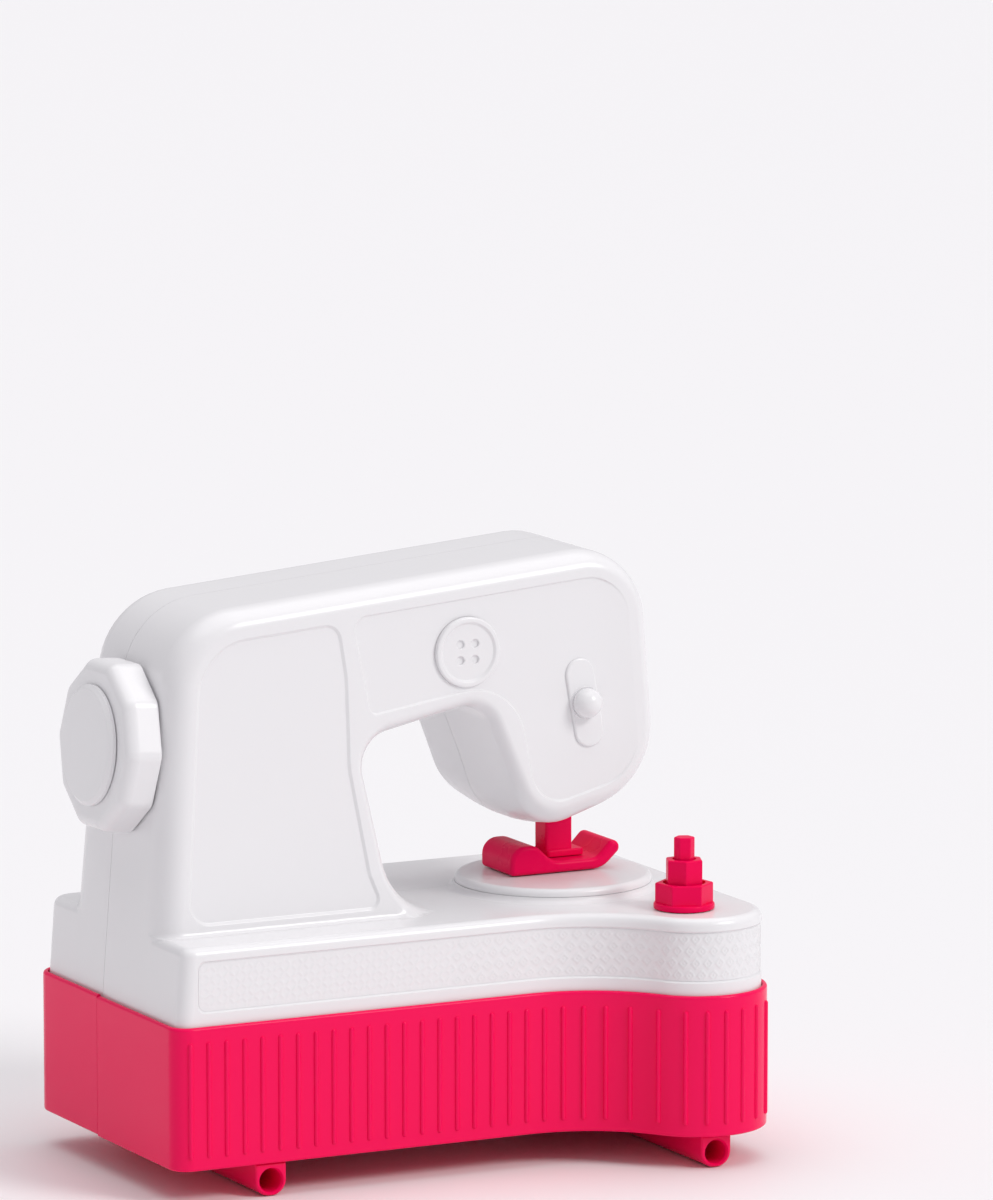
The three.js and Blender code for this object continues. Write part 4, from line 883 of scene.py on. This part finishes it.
combine(button, gather(eyes), "DIFFERENCE")
addPiece(button, "buttonBadge", "housing", ["arm_badge"], "white_plastic")

# Handwheel and its cap
wheel = {
    "radius": 30, "sides": 10, "turn": 1, "corner": 6, "back": 0.6, "front": 13.1, "edge": (4.2, 4.6),
    "hub": 8.3, "hubSeat": 6.6, "shaft": 3.3, "shaftEnd": 4, "screwHole": 1.7,
    "capRadius": 20.5, "capBack": 13.4, "capFront": 15.9, "plug": 8, "plugEnd": 11, "plugHole": 4,
}
rim = roundedPrism(
    regular(wheel["sides"], wheel["radius"], wheel["turn"], wheel["corner"]), wheel["back"], wheel["front"],
    (0.8, 0.8), wheel["edge"], wheelPose, 8, 8, {i: 1 for i in range(wheel["sides"])},
)
combine(rim, turned([
    (0, -1, 0), (wheel["shaft"], -1, 0), (wheel["shaft"], wheel["shaftEnd"], 0),
    (wheel["screwHole"], wheel["shaftEnd"], 0), (wheel["screwHole"], wheel["hubSeat"], 0),
    (wheel["hub"], wheel["hubSeat"], 0), (wheel["hub"], 16, 0), (0, 16, 0),
], wheelPose, 48), "DIFFERENCE")
addPiece(rim, "wheelRim", "wheel", ["handwheel"], "white_plastic", 40)
cap = turned([
    (0, wheel["capBack"], 0), (wheel["plugHole"], wheel["capBack"], 0),
    (wheel["plugHole"], wheel["plugEnd"], 0),
    (wheel["plug"], wheel["plugEnd"], 0), (wheel["plug"], wheel["capBack"], 0),
    (wheel["capRadius"], wheel["capBack"], 0.2),
    (wheel["capRadius"], wheel["capFront"] - 1.2, 0.4), (wheel["capRadius"] - 1.5, wheel["capFront"], 0.9),
    (10, wheel["capFront"] + 0.25, 20), (0, wheel["capFront"] + 0.35, 0),
], wheelPose, 96, 6)
addPiece(cap, "wheelCap", "wheel", ["handwheel_cap"], "white_plastic")
print("plate, badge and wheel made")

# Presser foot: heel, sole and turned-up toe
pressFoot = {"middle": 56, "half": 12, "edge": (1.5, 1.7)}
footOutline = [
    (147.8, 91.6, 1.6), (183.4, 91.6, 9), (191, 98.6, 2.5), (187.4, 102.2, 2.5), (181, 95.6, 5),
    (164, 95.6, 8), (157.6, 101.7, 6), (147.8, 101.7, 5.5),
]
sled = roundedPrism(
    footOutline, -pressFoot["middle"] - pressFoot["half"], pressFoot["half"] - pressFoot["middle"],
    pressFoot["edge"], pressFoot["edge"], frontView, 6, 8, {0: 8, 4: 4},
)
combine(sled, turned([
    (0, 90, 0), (3.6, 90, 0), (3.6, 93.4, 0), (1.7, 93.4, 0), (1.7, 97, 0), (0, 97, 0),
], moveTo(bar["x"], bar["y"], 0), 32), "DIFFERENCE")
addPiece(sled, "pressSled", "foot", ["presser_foot"], "magenta_plastic")

halfWidth, halfBar = bar["width"] / 2, bar["depth"] / 2
barPose = moveTo(bar["x"], bar["y"], 0)
stem = roundedPrism(
    rectangle(-halfWidth, halfWidth, -halfBar, halfBar, 1), bar["bottom"] + 0.5, bar["shoulder"],
    (0.1, 0.1), (0.5, 0.5), barPose,
)
flange = roundedPrism(
    rectangle(-halfWidth, halfWidth + 4, -halfBar - 1, halfBar + 1, 1.2), bar["bottom"], bar["bottom"] + 2.4,
    (0.3, 0.3), (0.6, 0.6), barPose,
)
neck = roundedPrism(
    rectangle(1.2 - halfWidth, halfWidth - 1.2, 1.2 - halfBar, halfBar - 1.2, 0.6),
    bar["shoulder"] - 1, bar["top"], (0.1, 0.1), (0.4, 0.4), barPose,
)
combine(stem, flange, "UNION")
combine(stem, neck, "UNION")
combine(stem, rod(1.7, 90, bar["bottom"] + 14, barPose, 24), "DIFFERENCE")
addPiece(stem, "pressBar", "foot", ["foot_bar"], "magenta_plastic")

# Ball knob on its sliding cover plate
cover = roundedPrism(
    obround(knob["coverLength"], knob["coverWidth"]), knob["coverBack"], knob["coverFront"],
    (0.03, 0.03), (0.9, 0.7), knobPose, 6, 16,
)
ballTop = [(knob["ball"] * math.cos(a), knob["ballCentre"] + knob["ball"] * math.sin(a), 0)
           for a in (math.radians(-15 + 105 * k / 16) for k in range(16))]
ball = turned([(0, 0.6, 0), (knob["ball"] + 0.5, 0.6, 0), (knob["ball"] + 0.35, 1.3, 0)] + ballTop
              + [(0, knob["ballCentre"] + knob["ball"], 0)], knobPose, 48)
stalk = turned([
    (0, knob["pinEnd"], 0), (knob["pin"], knob["pinEnd"], 0.3), (knob["pin"], knob["neckEnd"], 0),
    (knob["neck"], knob["neckEnd"], 0), (knob["neck"], knob["coverFront"], 0), (0, knob["coverFront"], 0),
], knobPose, 32)
combine(cover, ball, "UNION")
combine(cover, stalk, "UNION")
addPiece(cover, "ballKnob", "knob", ["lift_knob"], "white_plastic", 40)

# Hexagon spindles, one inside the other
spindlePose = moveTo(spindle["x"], spindle["y"], 0)
hexes = [
    {
        "name": "largeHex", "body": "large_hex", "radius": 10, "turn": spindle["turn"], "bottom": 87.5,
        "top": 95.5, "bore": 7.3, "sleeve": 9, "low": 67.4, "flange": (10.45, 86.7, 88.7),
    },
    {
        "name": "middleHex", "body": "middle_hex", "radius": 6.8, "turn": spindle["turn"] + 30,
        "bottom": 93.5, "top": 103.6, "bore": 4.1, "sleeve": 6.9, "low": 62.4, "flange": None,
    },
    {
        "name": "smallHex", "body": "small_hex", "radius": 3.6, "turn": spindle["turn"], "bottom": 101.6,
        "top": 111.2, "bore": 1.7, "sleeve": 3.7, "low": 58.4, "flange": None,
    },
]
for item in hexes:
    head = roundedPrism(
        regular(6, item["radius"], item["turn"], 0.5), item["bottom"], item["top"],
        (0.05, 0.05), (0.55, 0.55), spindlePose, 4, 4,
    )
    ringLow, ringHigh = item["low"] + 0.9, item["low"] + 2.7
    groove = item["sleeve"] - 0.8 if item["name"] != "smallHex" else item["sleeve"]
    outer, end = item["sleeve"], item["bottom"] + 0.6
    sleeve = turned([
        (0, item["low"], 0), (outer, item["low"], 0.3), (outer, ringLow, 0), (groove - 0.01, ringLow, 0),
        (groove - 0.01, ringHigh, 0), (outer, ringHigh, 0), (outer, end, 0), (0, end, 0),
    ], spindlePose, 48)
    combine(head, sleeve, "UNION")
    if item["flange"]:
        radius, z0, z1 = item["flange"]
        collar = turned([(0, z0, 0), (radius, z0, 0.3), (radius, z1, 0.7), (0, z1, 0)], spindlePose, 64)
        combine(head, collar, "UNION")
    boreTop = item["top"] + 1 if item["name"] != "smallHex" else item["low"] + 14
    combine(head, rod(item["bore"], item["low"] - 1, boreTop, spindlePose, 48), "DIFFERENCE")
    addPiece(head, item["name"], item["body"], [item["body"] + "_spindle"], "magenta_plastic", 30)
print("foot, knob and spindles made")

# Screws: domed head with a cross recess, ridged shank
screw = {
    "head": 3, "height": 1.8, "edge": 1.1, "shank": 1.4, "root": 1.15, "pitch": 0.9,
    "slotWidth": 0.75, "slotReach": 1.7, "bodySeat": 72.3, "baseSeat": 12.9, "footSeat": 93.1,
    "baseSpots": [(14, 14), (14, 102.4), (202, 102.4), (200, 22)],
}


def screwSolid(pose, length):
    profile = [(0, -length, 0), (0.4, -length, 0)]
    ridges = int((length - 2) / screw["pitch"])
    for k in range(ridges):
        z = -length + 1.2 + k * screw["pitch"]
        profile += [(screw["root"], z - screw["pitch"] / 3, 0), (screw["shank"], z, 0)]
    profile += [(screw["root"], -0.6, 0), (screw["root"], 0, 0), (screw["head"], 0, 0.15)]
    profile += [(screw["head"], screw["edge"], 0.5), (1.6, screw["height"], 1.2), (0, screw["height"], 0)]
    body = turned(profile, pose, 24, 4)
    half, slot = screw["slotWidth"] / 2, screw["slotReach"]
    plus = [
        (-half, -slot), (half, -slot), (half, -half), (slot, -half), (slot, half), (half, half),
        (half, slot), (-half, slot), (-half, half), (-slot, half), (-slot, -half), (-half, -half),
    ]
    rings = [[(x * s, y * s, z) for x, y in plus] for s, z in ((0.55, 0.7), (1.05, 2.4))]
    return combine(body, makeSolid(*loft(rings), pose), "DIFFERENCE")


screwSpots = []
for i, (x, height) in enumerate(bodyScrews):
    pose = moveTo(x, screw["bodySeat"], deckTop + height) @ toRear
    screwSpots.append((f"body_screw_{i + 1}", pose, 20, "housing"))
for i, (x, y) in enumerate(screw["baseSpots"]):
    screwSpots.append((f"base_screw_{i + 1}", moveTo(x, y, screw["baseSeat"]) @ toFloor, 12, "housing"))
screwSpots.append(("foot_screw", moveTo(bar["x"], bar["y"], screw["footSeat"]) @ toFloor, 12, "foot"))
for node, pose, length, body in screwSpots:
    words = node.split("_")
    name = words[0] + "".join(word.capitalize() for word in words[1:])
    addPiece(screwSolid(pose, length), name, body, [node], "steel")
print("screws made")

# Return spring round the bar's neck, drawn at one length; the real spring shortens as the foot lifts
spring = {"bottom": 161.55, "top": 187.05, "radius": 6.65, "wire": 0.55, "turns": 6, "steps": 20, "sides": 10}


def springSolid():
    rings = []
    wire = spring["wire"]
    count = spring["turns"] * spring["steps"]
    for k in range(count + 1):
        angle = 2 * math.pi * k / spring["steps"]
        z = spring["bottom"] + wire + (spring["top"] - spring["bottom"] - 2 * wire) * k / count
        out = Vector((math.cos(angle), math.sin(angle), 0))
        ring = []
        for s in range(spring["sides"]):
            a = 2 * math.pi * s / spring["sides"]
            centre = Vector((bar["x"], bar["y"], z + wire * math.sin(a)))
            ring.append(out * (spring["radius"] + wire * math.cos(a)) + centre)
        rings.append(ring)
    return makeSolid(*loft(rings))


coil = addPiece(springSolid(), "returnCoil", "housing", ["bar_spring"], "steel")
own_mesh(coil)
print("spring made")

# Floor, world, lamps and camera
stageLook = {"floor": (0.88, 0.875, 0.885), "size": 30}
half = stageLook["size"] / 2
floorData = bpy.data.meshes.new("floor")
floorCorners = [(-half, -half, 0), (half, -half, 0), (half, half, 0), (-half, half, 0)]
floorData.from_pydata(floorCorners, [], [(0, 1, 2, 3)])
floor = bpy.data.objects.new("floor", floorData)
bpy.context.scene.collection.objects.link(floor)
floor.location.z = -0.0002
paper = bpy.data.materials.new("palePaper")
paper.use_nodes = True
paperShader = paper.node_tree.nodes["Principled BSDF"]
paperShader.inputs["Base Color"].default_value = (*stageLook["floor"], 1)
paperShader.inputs["Roughness"].default_value = 0.6
floor.data.materials.append(paper)

light = {
    "sky": (0.95, 0.93, 0.97), "skyStrength": 0.5,
    "lamps": [
        ("key", (0.45, -0.65, 0.61), 1.26, 22, (1, 0.99, 0.98)),
        ("topSoft", (0.05, 0.1, 1), 1.2, 65, (1, 1, 1)),
    ],
}
world = bpy.data.worlds.new("studio")
bpy.context.scene.world = world
world.use_nodes = True
sky = world.node_tree.nodes["Background"]
sky.inputs["Color"].default_value = (*light["sky"], 1)
sky.inputs["Strength"].default_value = light["skyStrength"]
for name, side, power, spread, colour in light["lamps"]:  # side: where the light comes from
    lamp = bpy.data.lights.new(name, "SUN")
    lamp.energy = power
    lamp.color = colour
    lamp.angle = math.radians(spread)
    holder = bpy.data.objects.new(name, lamp)
    bpy.context.scene.collection.objects.link(holder)
    holder.location = side
    holder.rotation_euler = Vector(side).to_track_quat("Z", "Y").to_euler()

view = {"spot": (-1.264516, -2.553815, 0.6429), "look": (0.4484, 0.88, -0.1564), "lens": 255}
cameraData = bpy.data.cameras.new("camera")
cameraData.lens = view["lens"]
cameraData.sensor_width = 36
cameraData.clip_end = 100
camera = bpy.data.objects.new("camera", cameraData)
bpy.context.scene.collection.objects.link(camera)
camera.location = view["spot"]
camera.rotation_euler = Vector(view["look"]).to_track_quat("-Z", "Y").to_euler()
bpy.context.scene.camera = camera
bpy.context.scene.view_settings.view_transform = "Standard"

print("scene ready")
